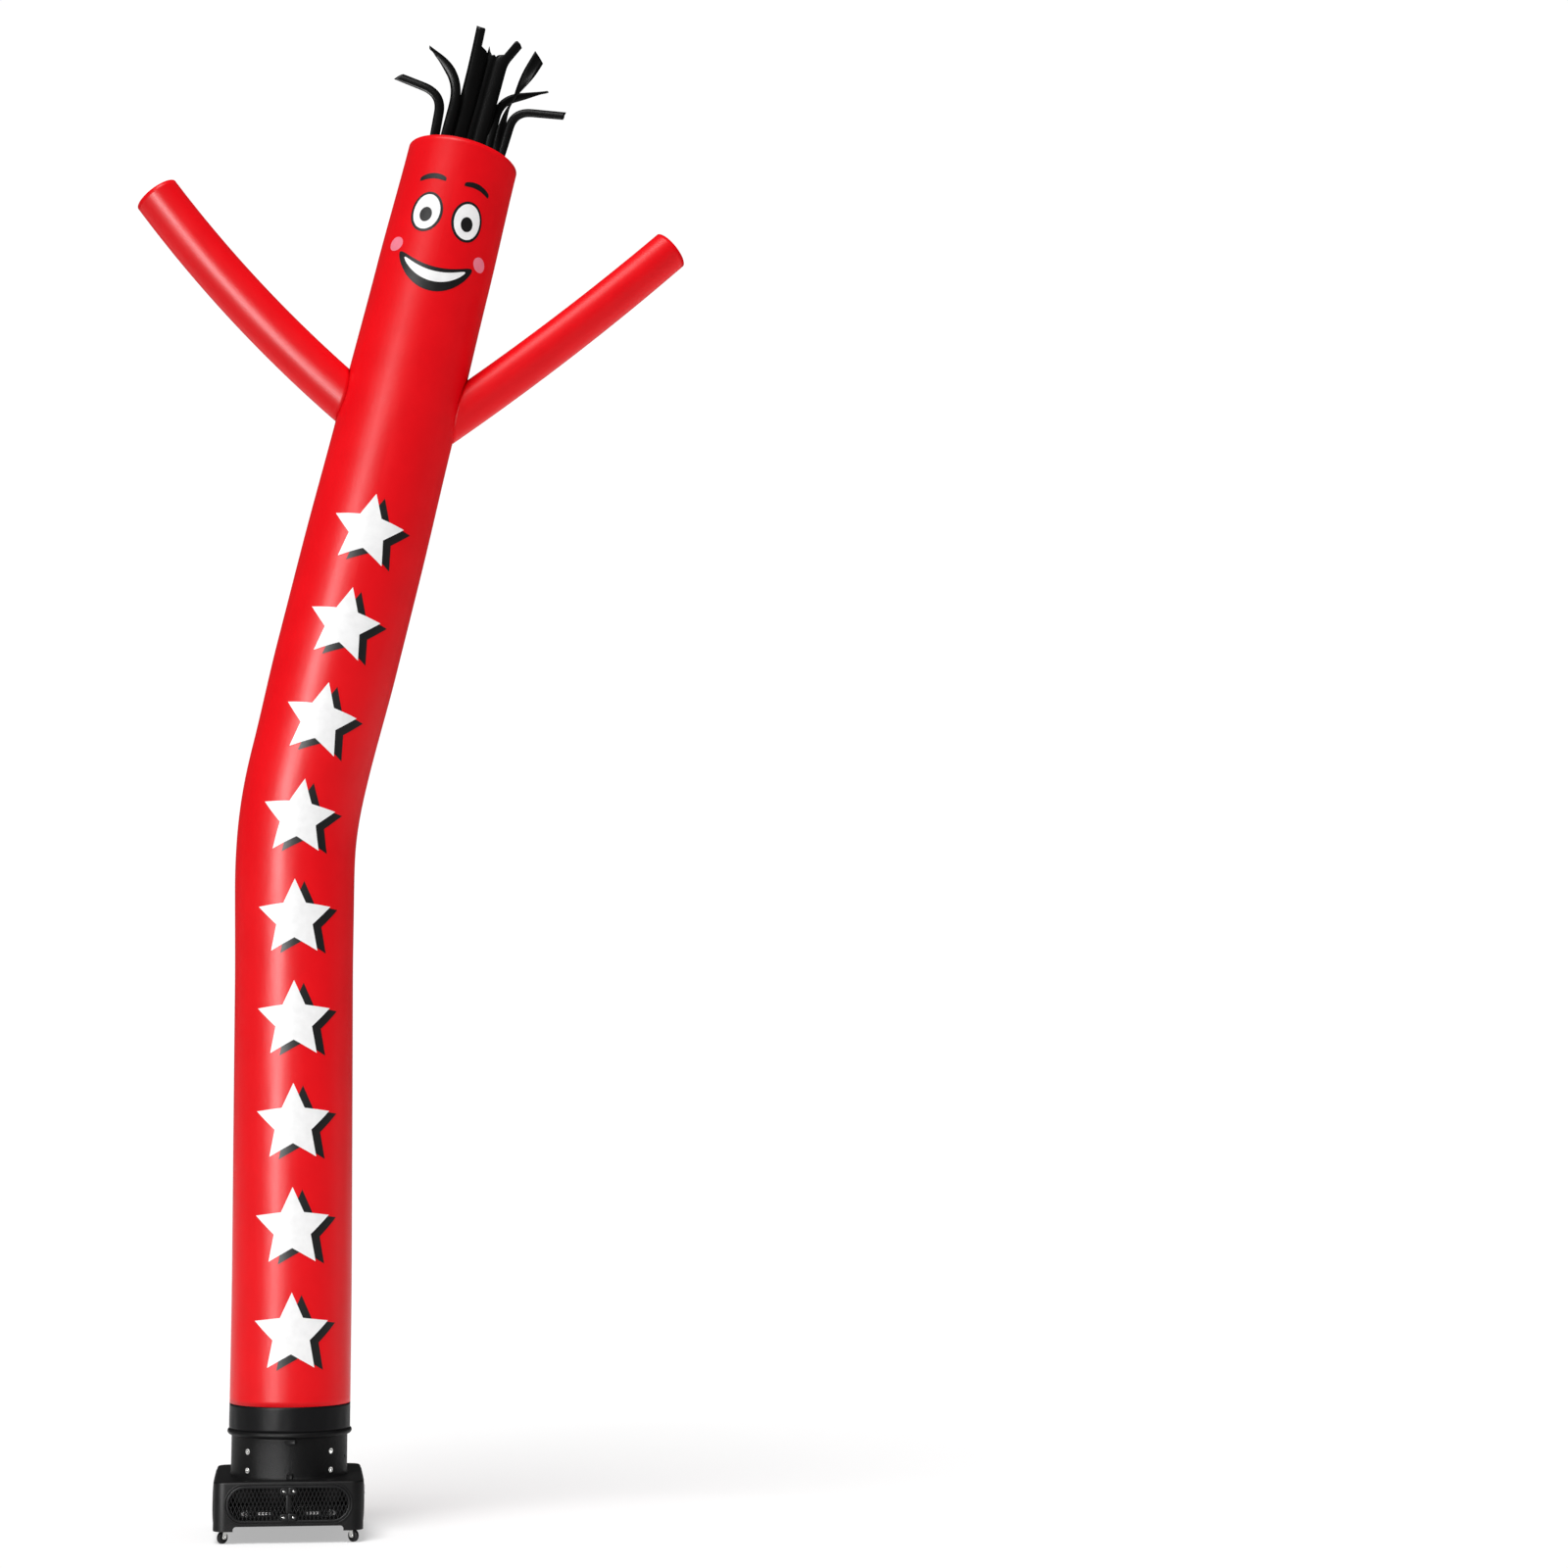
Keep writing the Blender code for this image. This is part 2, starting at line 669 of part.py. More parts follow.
def make_floor_plate():
    """The plate under the base, with the round lower guard cut in it. It carries the castors."""
    outline = rounded_square(BASE_HALF - BASE_WALL - GAP, BASE_CORNER - BASE_WALL - GAP)
    holes = sector_holes(((0.075, 0.125), (0.133, 0.185)), 10, 0.008)
    mesh = plate_mesh(outline, holes, FLOOR_PLATE)
    mesh.transform(Matrix.Translation((0, 0, FLOOR_PLATE_Z + FLOOR_PLATE / 2)))
    part("floor_plate", mesh, "black_plastic", on_face(0))


def make_collar():
    """The outlet: a drum with a ridge half way up and a flange round its rim."""
    ridge = []
    for degrees in (90, 45, 0, -45, -90):
        angle = math.radians(degrees)
        out = COLLAR_R + (RIDGE_R - COLLAR_R) * math.cos(angle)
        ridge.append((out, RIDGE_Z + RIDGE_HALF * math.sin(angle)))
    profile = [(RIM_R - 0.003, RIM_Z), (RIM_R, RIM_Z - 0.003), (RIM_R, RIM_Z - RIM_HIGH + 0.002)]
    profile += [(COLLAR_R, RIM_Z - RIM_HIGH - 0.003), *ridge, (COLLAR_R, PLATE_TOP + GAP)]
    inner = COLLAR_R - COLLAR_WALL
    profile += [(inner, PLATE_TOP + GAP), (inner, RIM_Z)]
    turned("collar", profile, 36, "collar_plastic", place=on_face(0))
    low, high = RIDGE_Z + RIDGE_HALF + 0.004, RIM_Z - RIM_HIGH - 0.005
    tape = [(COLLAR_R + GAP + TAPE_THICK, high), (COLLAR_R + GAP + TAPE_THICK, low)]
    tape += [(COLLAR_R + GAP, low), (COLLAR_R + GAP, high)]
    turned("collar_tape", tape, 36, "hook_tape", place=on_face(0))


def make_guard():
    """The finger guard that lies on the collar's rim, round a hub ring."""
    outer = RIM_R - 0.004
    rings = ((HUB_R + 0.006, 0.108), (0.115, 0.151), (0.158, outer - GUARD_LIP))
    holes = sector_holes(rings, 12, 0.007)
    hub = arc((0, 0), HUB_HOLE, 0, 337.5, 15)
    mesh = plate_mesh(arc((0, 0), outer, 0, 350, 35), [*holes, hub], GUARD_THICK)
    mesh.transform(Matrix.Translation((0, 0, RIM_Z + GAP + GUARD_THICK / 2)))
    part("top_guard", mesh, "guard_plastic", on_face(0))


def make_motor():
    """The fan motor that hangs under the hub, with the well that shows through it."""
    top = RIM_Z
    bottom = top - MOTOR_HIGH
    profile = [(0.0, top - 0.07), (HUB_HOLE, top - 0.07), (HUB_HOLE, top), (MOTOR_R, top)]
    profile += [(MOTOR_R, bottom + 0.01), (MOTOR_R - 0.01, bottom), (0.0, bottom)]
    turned("motor", profile, 20, "motor_iron", closed=False, place=on_face(0))


def make_collar_tabs():
    """The two square catches on the collar's front seam."""
    for name, z, size in (
        ("tab_upper", RIDGE_Z - 0.021, (0.040, 0.014, 0.016)),
        ("tab_lower", PLATE_TOP + 0.012, (0.022, 0.012, 0.020)),
    ):
        y = -COLLAR_R - GAP - size[1] / 2
        mesh = box_mesh(size, (0, y, z), bevel=0.002, edges="Y", segments=1)
        part(name, mesh, "guard_plastic", on_face(0))


def make_switch():
    """The panel let into the right face, its rocker switch and the clear cover over it."""
    right = on_face(FACES["right"])
    flat = Matrix.Rotation(math.pi / 2, 4, "X")
    depth = BASE_HALF - 0.004
    outline = rounded_rectangle((PANEL_Y, GRILLE_Z), PANEL_WIDE, PANEL_HIGH, PANEL_CORNER)
    hole = rounded_rectangle((PANEL_Y, GRILLE_Z), SWITCH_WIDE, SWITCH_HIGH, 0.001, 1)
    panel = plate_mesh(outline, [hole], 0.003)
    panel.transform(Matrix.Translation((0, -depth, 0)) @ flat)
    part("switch_panel", panel, "black_plastic", right)
    wide, high = ROCKER_WIDE + 2 * ROCKER_PLAY, ROCKER_HIGH + 6 * ROCKER_PLAY
    frame_size = (SWITCH_WIDE - 2 * GAP, SWITCH_HIGH - 2 * GAP)
    frame_outer = rounded_rectangle((PANEL_Y, GRILLE_Z), *frame_size, 0.001, 1)
    frame_inner = rounded_rectangle((PANEL_Y, GRILLE_Z), wide, high, 0.001, 1)
    frame = plate_mesh(frame_outer, [frame_inner], 0.012)
    frame.transform(Matrix.Translation((0, -depth, 0)) @ flat)
    part("switch_frame", frame, "guard_plastic", right)
    front = depth + 0.006

    def rocker(bm):
        half = ROCKER_HIGH / 2
        rows = [(-front + 0.010, -half + 0.003), (-front - 0.0025, -half), (-front - 0.0005, 0.0)]
        rows += [(-front - 0.0045, half), (-front + 0.010, half - 0.003)]
        ends = []
        for x in (PANEL_Y - ROCKER_WIDE / 2, PANEL_Y + ROCKER_WIDE / 2):
            ends.append([bm.verts.new((x, y, GRILLE_Z + z)) for y, z in rows])
        for end in ends:
            bm.faces.new(end)
        for i in range(len(rows)):
            j = (i + 1) % len(rows)
            bm.faces.new((ends[0][i], ends[0][j], ends[1][j], ends[1][i]))

    part("switch_rocker", mesh_of(rocker), "switch_red", right)
    cover_size = (frame_size[0], 0.013, frame_size[1])
    cover_y = -front - GAP - cover_size[1] / 2
    box = box_mesh(cover_size, (PANEL_Y, cover_y, GRILLE_Z), 0.002, "Y", 1)
    cover = part("switch_cover", box, "clear_cover", right)
    hollow_size = (cover_size[0] - 0.002, cover_size[1], cover_size[2] - 0.002)
    hollow = box_mesh(hollow_size, (PANEL_Y, cover_y + 0.001, GRILLE_Z))
    cut(cover, cutter("cover_hollow", hollow, right))


def make_lead():
    """The short lead from the collar's gland down into the base, at the back on the right."""
    turn = on_face(0) @ Matrix.Rotation(math.radians(128), 4, "Z")
    face = COLLAR_R + GAP
    gland = box_mesh((0.022, 0.018, 0.030), (0, -face - 0.009, PLATE_TOP + 0.060), 0.004, "Y", 2)
    part("lead_gland", gland, "guard_plastic", turn)
    top = PLATE_TOP + 0.075 + GAP
    line = ((0.009, 0.0), (0.009, 0.022), (0.014, 0.040), (0.027, 0.052), (0.043, 0.047), (0.051, 0.028))
    points = [Vector((0, -face - out, top + up)) for out, up in line]
    foot = PLATE_TOP + GAP
    points += [Vector((0, -face - 0.053, z)) for z in (top - 0.005, top - 0.035, foot + 0.014 + GAP)]
    lead = solid_tube("lead", points, [0.004] * len(points), 8)
    part("lead", lead, "lead_black", turn)
    socket = rod_mesh(0.010, 0.014, 12, (0, -face - 0.053, foot + 0.007))
    part("lead_socket", socket, "guard_plastic", turn)


# The castors


def make_castor(name, x, y, turn, brake_side):
    """A swivelling fork under a corner, with its wheel, axle and, at the front, its brake lever.

    It is modelled trailing along +Y, and its turn points that way out of the corner.
    """
    place = Matrix.Translation((BLOWER_X + x, y, 0)) @ Matrix.Rotation(math.radians(turn), 4, "Z")
    axle_z = WHEEL_R * math.cos(math.pi / WHEEL_SIDES)
    top = FLOOR_PLATE_Z - GAP
    cheek = 0.002
    inner_half = WHEEL_WIDE / 2 + 0.001
    crown_z = axle_z + WHEEL_R + 0.003
    crown = rod_mesh(0.017, top - crown_z, 12, (0, 0, (top + crown_z) / 2))
    fork = part(f"castor_{name}_fork", crown, "zinc_steel", place)
    for side in (-1, 1):
        drop = crown_z + 0.004 - (axle_z - 0.006)
        size = (cheek, 0.020, drop)
        at = (side * (inner_half + cheek / 2), CASTOR_TRAIL * 0.55, axle_z - 0.006 + drop / 2)
        cut(fork, cutter(f"cheek_{name}_{side}", box_mesh(size, at), place), "UNION")
    axle_at = (0, CASTOR_TRAIL, axle_z)
    bore = rod_mesh(AXLE_R + GAP, 0.05, 12, axle_at, "X")
    cut(fork, cutter(f"axle_bore_{name}", bore, place))
    half = WHEEL_WIDE / 2
    round_over = 0.003
    tread = [(WHEEL_R - round_over, half), (WHEEL_R, half - round_over), (WHEEL_R, -half + round_over)]
    tread += [(WHEEL_R - round_over, -half), (AXLE_R + GAP, -half), (AXLE_R + GAP, half)]
    spin = Matrix.Rotation(math.pi / 2, 4, "Y") @ Matrix.Rotation(math.pi / WHEEL_SIDES, 4, "Z")
    wheel_place = place @ Matrix.Translation(axle_at) @ spin
    turned(f"castor_{name}_wheel", tread, WHEEL_SIDES, "tyre_black", place=wheel_place)
    pin = rod_mesh(AXLE_R, 2 * (inner_half + cheek) + 0.003, 12, axle_at, "X")
    part(f"castor_{name}_axle", pin, "zinc_steel", place)
    if brake_side:
        out = brake_side * (inner_half + cheek + BRAKE_PLAY)
        at = (out + brake_side * BRAKE_REACH / 2, CASTOR_TRAIL * 0.55, crown_z - 0.006)
        lever = box_mesh((BRAKE_REACH, BRAKE_WIDE, BRAKE_THICK), at, 0.004, "Z", 2)
        part(f"brake_{name}", lever, "zinc_steel", place)


def make_castors():
    for name, x, y, turn, brake_side in (
        ("front_left", -1, -1, 135, 1),
        ("front_right", 1, -1, -135, -1),
        ("back_left", -1, 1, 45, 0),
        ("back_right", 1, 1, -45, 0),
    ):
        make_castor(name, x * CASTOR_AT, y * CASTOR_AT, turn, brake_side)


make_tube_and_arms()
make_cuff()
make_hair()
make_housing()
make_grilles()
make_seam_lugs()
make_floor_plate()
make_collar()
make_guard()
make_motor()
make_collar_tabs()
make_switch()
make_lead()
make_castors()
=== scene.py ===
# %% [markdown]
# # An air dancer on its blower
#
# A tube of thin coated nylon stands up because a fan blows air into it. It leans and waves, and its two arms
# and ribbon hair wave with it. The cloth grips the round outlet of a square moulded blower on four castors.
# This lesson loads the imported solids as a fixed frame, then makes each visible piece over them in detail:
# the cloth as grids of points, and the hard pieces with the operators that are used by hand.

import math

import bmesh
import bpy
import numpy as np
from mathutils import Matrix, Vector


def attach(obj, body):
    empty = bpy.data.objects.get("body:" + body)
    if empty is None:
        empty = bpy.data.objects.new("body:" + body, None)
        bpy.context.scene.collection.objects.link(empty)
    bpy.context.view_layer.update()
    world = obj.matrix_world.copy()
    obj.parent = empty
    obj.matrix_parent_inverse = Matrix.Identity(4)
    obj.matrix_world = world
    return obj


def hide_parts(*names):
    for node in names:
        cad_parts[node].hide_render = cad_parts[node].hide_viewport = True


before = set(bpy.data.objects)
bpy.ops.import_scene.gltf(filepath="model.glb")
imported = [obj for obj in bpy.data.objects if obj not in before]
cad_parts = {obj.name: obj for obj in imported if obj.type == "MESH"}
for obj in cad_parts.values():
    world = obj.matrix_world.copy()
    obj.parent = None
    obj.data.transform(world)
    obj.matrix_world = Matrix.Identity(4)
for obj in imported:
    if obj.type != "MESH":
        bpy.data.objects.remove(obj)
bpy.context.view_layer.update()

# %% [markdown]
# ## Sizes
#
# The sizes are the real ones, in metres, and they repeat those of the solids. The outlet of such a blower is
# 18 inches across, and every other size follows from it. The blower's axis is left of the middle, because
# the dancer leans to the right.

# %% Sizes
AXIS_X = -0.4365
BASE_HALF = 0.28
BASE_CORNER = 0.045
BASE_WALL = 0.004
BASE_TOP = 0.225
BASE_LOW = 0.046
FACE_LOW = 0.064
LEG_REACH = 0.075
FLOOR_LOW = 0.070
FLOOR_THICK = 0.004
GRILLE_Z = 0.1435
GRILLE_HALF = 0.232
GRILLE_RISE = 0.068
GRILLE_PROUD = 0.003
COLLAR_R = 0.222
RIDGE_Z, RIDGE_R, RIDGE_HALF = 0.385, 0.2385, 0.013
RIM_Z, RIM_R, RIM_HIGH = 0.445, 0.2286, 0.014
HUB_R, HUB_HOLE = 0.062, 0.044
PANEL_Y, PANEL_WIDE, PANEL_HIGH = 0.115, 0.135, 0.118
CASTOR_AT, CASTOR_TRAIL = 0.235, 0.012
WHEEL_R, WHEEL_WIDE = 0.0225, 0.016
AXLE_Z = WHEEL_R * math.cos(math.pi / 16)
TUBE_START, TUBE_LENGTH = 0.490, 5.144
CUFF_R = 0.232
CLOTH = 0.001
GAP = 0.0003

# %% [markdown]
# ## Camera
#
# The camera comes first, so that each step can be looked at. It stands about ten metres in front of the
# blower at the height of a person's chest and looks up a little, which gives the photograph's view: the
# blower is seen from just above and the head from below. The lens is shifted sideways, because the dancer
# stands in the left half of the picture.

# %% Camera
CAMERA_BACK, CAMERA_HIGH = 9.75, 1.41
CAMERA_TILT, CAMERA_PAN = 8.75, 5.88
bpy.ops.object.camera_add(
    location=(AXIS_X, -CAMERA_BACK, CAMERA_HIGH),
    rotation=(math.radians(90 + CAMERA_TILT), 0, math.radians(-CAMERA_PAN)),
)
camera = bpy.context.object
camera.data.lens, camera.data.sensor_width = 56.16, 36
camera.data.shift_x = 0.15
bpy.context.scene.camera = camera

# %% [markdown]
# ## Floor and light
#
# The floor is one pale plane that glows a little, like a light table, so the gap under the blower stays
# light. A tall soft box stands on the left and draws the soft upright streak that shows on the tube a little
# left of its middle. A weaker one on the far right draws a rim on the dark cloth. Both only show as gloss:
# what they would add to the plain colour is switched off. A broad sun from the upper left lights the whole
# floor evenly. The sky is white to the camera and dimmer to the cloth, so that the red stays deep.

# %% Sky and floor
SKY_LIGHT, SKY_GLOSS, SKY_SEEN = 0.30, 0.06, 1.02
PAPER_TONE, PAPER_GLOW = 0.55, 0.42
scene = bpy.context.scene
scene.view_settings.view_transform = "Standard"
world = bpy.data.worlds.new("studio")
scene.world = world
world.use_nodes = True
sky = world.node_tree
seen = sky.nodes.new("ShaderNodeLightPath")
to_gloss = sky.nodes.new("ShaderNodeMapRange")
to_gloss.inputs["To Min"].default_value = SKY_LIGHT
to_gloss.inputs["To Max"].default_value = SKY_GLOSS
to_camera = sky.nodes.new("ShaderNodeMapRange")
to_camera.inputs["To Max"].default_value = SKY_SEEN
background = sky.nodes["Background"].inputs
background["Color"].default_value = (1, 1, 1, 1)
sky.links.new(seen.outputs["Is Glossy Ray"], to_gloss.inputs["Value"])
sky.links.new(seen.outputs["Is Camera Ray"], to_camera.inputs["Value"])
sky.links.new(to_gloss.outputs["Result"], to_camera.inputs["To Min"])
sky.links.new(to_camera.outputs["Result"], background["Strength"])

bpy.ops.object.select_all(action="DESELECT")
bpy.ops.mesh.primitive_plane_add(size=160, location=(0, 0, 0))
floor = bpy.context.object
floor.name = "floor"
paper = bpy.data.materials.new("white_paper")
paper.use_nodes = True
surface = paper.node_tree.nodes["Principled BSDF"].inputs
surface["Base Color"].default_value = (PAPER_TONE, PAPER_TONE, PAPER_TONE, 1)
surface["Emission Color"].default_value = (1, 1, 1, 1)
surface["Emission Strength"].default_value = PAPER_GLOW
surface["Roughness"].default_value = 0.9
surface["Specular IOR Level"].default_value = 0.0
floor.data.materials.append(paper)


# %% Lamps
def soft_box(name, at, towards, wide, high, power):
    """A softly glowing rectangle at one point, turned to face another. It only shows as gloss."""
    bpy.ops.object.light_add(type="AREA", location=at)
    lamp = bpy.context.object
    lamp.name = name
    lamp.data.shape = "RECTANGLE"
    lamp.data.size, lamp.data.size_y = wide, high
    lamp.data.energy = power
    lamp.rotation_euler = (Vector(towards) - Vector(at)).to_track_quat("-Z", "Y").to_euler()
    lamp.visible_diffuse = False


soft_box("streak_left", (-5.1, -7.5, 3.2), (-0.2, 0, 3.2), wide=1.6, high=9.0, power=3400)
soft_box("edge_right", (7.5, 0.4, 1.0), (0, 0, 0.3), wide=0.8, high=2.0, power=14)
bpy.ops.object.light_add(type="SUN", location=(0, 0, 9))
sun = bpy.context.object
sun.data.energy = 2.85
sun.data.angle = math.radians(30)
sun.rotation_euler = Vector((0.22, 0.40, -0.89)).to_track_quat("-Z", "Y").to_euler()

# %% [markdown]
# ## Shader sums
#
# A finish is easiest to read when its maths looks like maths. This small class wraps one socket of a
# material's node tree. Adding or multiplying two of them adds the Math node that does it, and `node` makes
# any other node from its type, its settings and what goes into its sockets.


# %% Shader sums
class Wire:
    """A value that flows through a material's nodes."""

    def __init__(self, tree, socket=None):
        self.tree = tree
        self.socket = socket

    def node(self, kind, settings=None, inputs=None, out=0):
        made = self.tree.nodes.new(kind)
        for key, value in (settings or {}).items():
            setattr(made, key, value)
        for key, value in (inputs or {}).items():
            if isinstance(value, Wire):
                self.tree.links.new(value.socket, made.inputs[key])
            else:
                made.inputs[key].default_value = value
        return Wire(self.tree, made.outputs[out])

    def math(self, operation, *values):
        return self.node("ShaderNodeMath", {"operation": operation}, dict(enumerate(values)))

    def __add__(self, other):
        return self.math("ADD", self, other)

    def __sub__(self, other):
        return self.math("SUBTRACT", self, other)

    def __rsub__(self, other):
        return self.math("SUBTRACT", other, self)

    def __mul__(self, other):
        return self.math("MULTIPLY", self, other)

    __radd__ = __add__
    __rmul__ = __mul__

    def parts(self):
        """The three numbers of a place."""
        split = self.node("ShaderNodeSeparateXYZ", {}, {"Vector": self}).socket.node
        return [Wire(self.tree, socket) for socket in split.outputs]

    def on_piece(self):
        """The place on a piece, in metres."""
        return self.node("ShaderNodeTexCoord", out=3)

    def smooth(self, low, high):
        """Goes smoothly from 0 at low to 1 at high."""
        span = {"Value": self, "From Min": low, "From Max": high}
        return self.node("ShaderNodeMapRange", {"interpolation_type": "SMOOTHSTEP"}, span)

    def stripe(self, pitch, width):
        """1 on a line of a width at every pitch, and 0 between."""
        away = self.math("PINGPONG", self, pitch / 2)
        return 1 - away.smooth(width * 0.3, width * 0.7)

    def mix(self, first, second):
        """A colour between two, by this value."""
        sockets = {"Factor": self, 6: (*first, 1.0), 7: (*second, 1.0)}
        return self.node("ShaderNodeMix", {"data_type": "RGBA"}, sockets, out=2)

    def noise(self, scale, detail=2.0, roughness=0.5):
        sockets = {"Vector": self, "Scale": scale, "Detail": detail, "Roughness": roughness}
        return self.node("ShaderNodeTexNoise", {}, sockets)

    def cells(self, scale):
        return self.node("ShaderNodeTexVoronoi", {}, {"Vector": self, "Scale": scale})

    def stretch(self, scale):
        """A place stretched by a scale along each direction."""
        return self.node("ShaderNodeMapping", {}, {"Vector": self, "Scale": scale})

    def bump(self, distance):
        """The normal that this height gives a surface."""
        return self.node("ShaderNodeBump", {}, {"Height": self, "Distance": distance})


def linear(colour):
    """A colour as it is picked on a screen, turned into the light that a shader works in."""
    return tuple(((c + 0.055) / 1.055) ** 2.4 if c > 0.04045 else c / 12.92 for c in colour)


def new_finish(name, colour, roughness, **constants):
    """A Principled material, with the wire to build on and its shader."""
    material = bpy.data.materials.new(name)
    material.use_nodes = True
    shader = material.node_tree.nodes["Principled BSDF"]
    shader.inputs["Base Color"].default_value = (*linear(colour), 1.0)
    shader.inputs["Roughness"].default_value = roughness
    for key, value in constants.items():
        shader.inputs[key.replace("_", " ")].default_value = value
    return material, Wire(material.node_tree), shader


def feed(shader, key, wire):
    wire.tree.links.new(wire.socket, shader.inputs[key])


# %% [markdown]
# ## Finishes of the cloth
#
# The dancer is coated nylon, 0.1 mm thick, with a fine grid of stronger threads 6 mm apart. It is smooth and
# a little glossy. Its pattern reads the cloth's own UV map, which is in metres, so the threads bend with the
# tube. The cuff is heavier black nylon and the hair is cut from light black nylon.


# %% Finishes of the cloth
THREAD = 0.0009
WEAVE = {"Scale": 900.0, "Mortar Size": 0.05}


def nylon(name, colour, roughness, grid, shade, gloss):
    """Coated nylon with a grid of stronger threads, by its UV map in metres."""
    material, wire, shader = new_finish(name, colour, roughness, Specular_IOR_Level=gloss)
    place = wire.node("ShaderNodeUVMap", {"uv_map": "cloth"})
    around, along, _ = place.parts()
    threads = around.math("MAXIMUM", around.stripe(grid, THREAD), along.stripe(grid, THREAD))
    weave = place.node("ShaderNodeTexBrick", {"offset": 0.5}, {"Vector": place, **WEAVE}, out=1)
    blotch = place.noise(5.0, 3.0)
    base = linear(colour)
    darker = [c * (1 - shade) for c in base]
    feed(shader, "Base Color", blotch.smooth(0.3, 0.7).mix(darker, base))
    feed(shader, "Roughness", blotch * 0.08 + (roughness - 0.04))
    pucker = place.stretch((9.0, 2.2, 1.0)).noise(1.0)
    height = threads * 0.05 - weave * 0.01 + pucker * 2.2
    feed(shader, "Normal", height.bump(0.001))
    return material


red_nylon = nylon("red_nylon", (0.925, 0.0, 0.06), 0.36, 0.006, 0.05, 0.155)
black_nylon = nylon("black_nylon", (0.075, 0.075, 0.08), 0.40, 0.004, 0.1, 0.075)
ribbon_nylon = nylon("ribbon_nylon", (0.035, 0.035, 0.035), 0.30, 0.004, 0.1, 0.11)
print("cloth finishes", [m.name for m in (red_nylon, black_nylon, ribbon_nylon)])

# %% [markdown]
# ## The line of the tube
#
# The tube stands upright from the cuff, bends a third of the way up and leans 13 degrees to the right from
# there. Its middle is found by walking along it in small steps, each turned by the lean at that distance.
# A point of the cloth is then given by two numbers: how far round the tube it is, and how far along.

# %% The line of the tube
LOW_LEAN, HIGH_LEAN = math.radians(-0.5), math.radians(13.1)
BEND_FROM, BEND_TO = 1.95, 2.55
FULLNESS = np.array(
    [
        (0.00, 0.2320),
        (1.60, 0.2325),
        (2.10, 0.2370),
        (2.50, 0.2410),
        (2.95, 0.2485),
        (3.35, 0.2490),
        (3.95, 0.2435),
        (4.60, 0.2385),
        (5.144, 0.2320),
    ]
)


def ease(value, start, end):
    """Goes smoothly from 0 at start to 1 at end."""
    share = np.clip((value - start) / (end - start), 0, 1)
    return share * share * (3 - 2 * share)


def lean_at(distance):
    return LOW_LEAN * ease(distance, 0.25, 0.6) + (HIGH_LEAN - LOW_LEAN) * ease(distance, BEND_FROM, BEND_TO)


WALK = np.linspace(0, TUBE_LENGTH, 2001)
WALK_STEP = WALK[1] - WALK[0]
WALK_LEAN = lean_at(WALK[:-1] + WALK_STEP / 2)
LINE_X = AXIS_X + np.concatenate([[0], np.cumsum(np.sin(WALK_LEAN) * WALK_STEP)])
LINE_Z = TUBE_START + np.concatenate([[0], np.cumsum(np.cos(WALK_LEAN) * WALK_STEP)])


def radius_at(distance):
    """How full the tube stands at a distance from the cuff, eased between the rows of the table."""
    row = int(np.clip(np.searchsorted(FULLNESS[:, 0], distance) - 1, 0, len(FULLNESS) - 2))
    (a, low), (b, high) = FULLNESS[row], FULLNESS[row + 1]
    return low + (high - low) * float(ease(distance, a, b))


def on_tube(angle, distance, lift=0.0):
    """The point of the cloth at an angle from its front towards the right, and a distance from the cuff."""
    lean = float(lean_at(distance))
    out = radius_at(distance) + lift
    side = Vector((math.cos(lean), 0, -math.sin(lean)))
    middle = Vector((np.interp(distance, WALK, LINE_X), 0, np.interp(distance, WALK, LINE_Z)))
    return middle + side * (out * math.sin(angle)) + Vector((0, -out * math.cos(angle), 0))


head_rim = on_tube(0, TUBE_LENGTH)
print("front of the head's rim", [round(v, 3) for v in head_rim])

# %% [markdown]
# ## Cloth from a grid of points
#
# A sheet of cloth is a grid of points with a UV map in metres. Solidify then gives it a thickness, inwards.
# A sheet that closes on itself shares its first and last column.


# %% Cloth from a grid
def only(piece):
    """Makes one piece the selected and active one."""
    bpy.ops.object.select_all(action="DESELECT")
    piece.select_set(True)
    bpy.context.view_layer.objects.active = piece


def apply_all(piece):
    """Applies every modifier of a piece, from the first to the last."""
    only(piece)
    for modifier in list(piece.modifiers):
        bpy.ops.object.modifier_apply(modifier=modifier.name)


def thicken(piece, thickness, offset=-1.0):
    wall = piece.modifiers.new("wall", "SOLIDIFY")
    wall.thickness = thickness
    wall.offset = offset
    wall.use_even_offset = True
    apply_all(piece)


def cloth_grid(name, point, size, columns, rows, closed=False, keep=None):
    """Cloth from a function that gives a point for two shares, across and along, of its size."""
    across = columns if closed else columns + 1
    points = [point(i / columns, j / rows) for j in range(rows + 1) for i in range(across)]
    faces, corners = [], []
    for j in range(rows):
        for i in range(columns):
            if keep and not keep((i + 0.5) / columns, (j + 0.5) / rows):
                continue
            k = (i + 1) % across
            faces.append((j * across + i, j * across + k, (j + 1) * across + k, (j + 1) * across + i))
            corners += [(i, j), (i + 1, j), (i + 1, j + 1), (i, j + 1)]
    mesh = bpy.data.meshes.new(name)
    mesh.from_pydata(points, [], faces)
    layer = mesh.uv_layers.new(name="cloth")
    places = [v for i, j in corners for v in (i / columns * size[0], j / rows * size[1])]
    layer.data.foreach_set("uv", places)
    mesh.shade_smooth()
    piece = bpy.data.objects.new(name, mesh)
    bpy.context.scene.collection.objects.link(piece)
    bm = bmesh.new()
    bm.from_mesh(mesh)
    bmesh.ops.delete(bm, geom=[v for v in bm.verts if not v.link_faces], context="VERTS")
    bm.to_mesh(mesh)
    bm.free()
    return piece


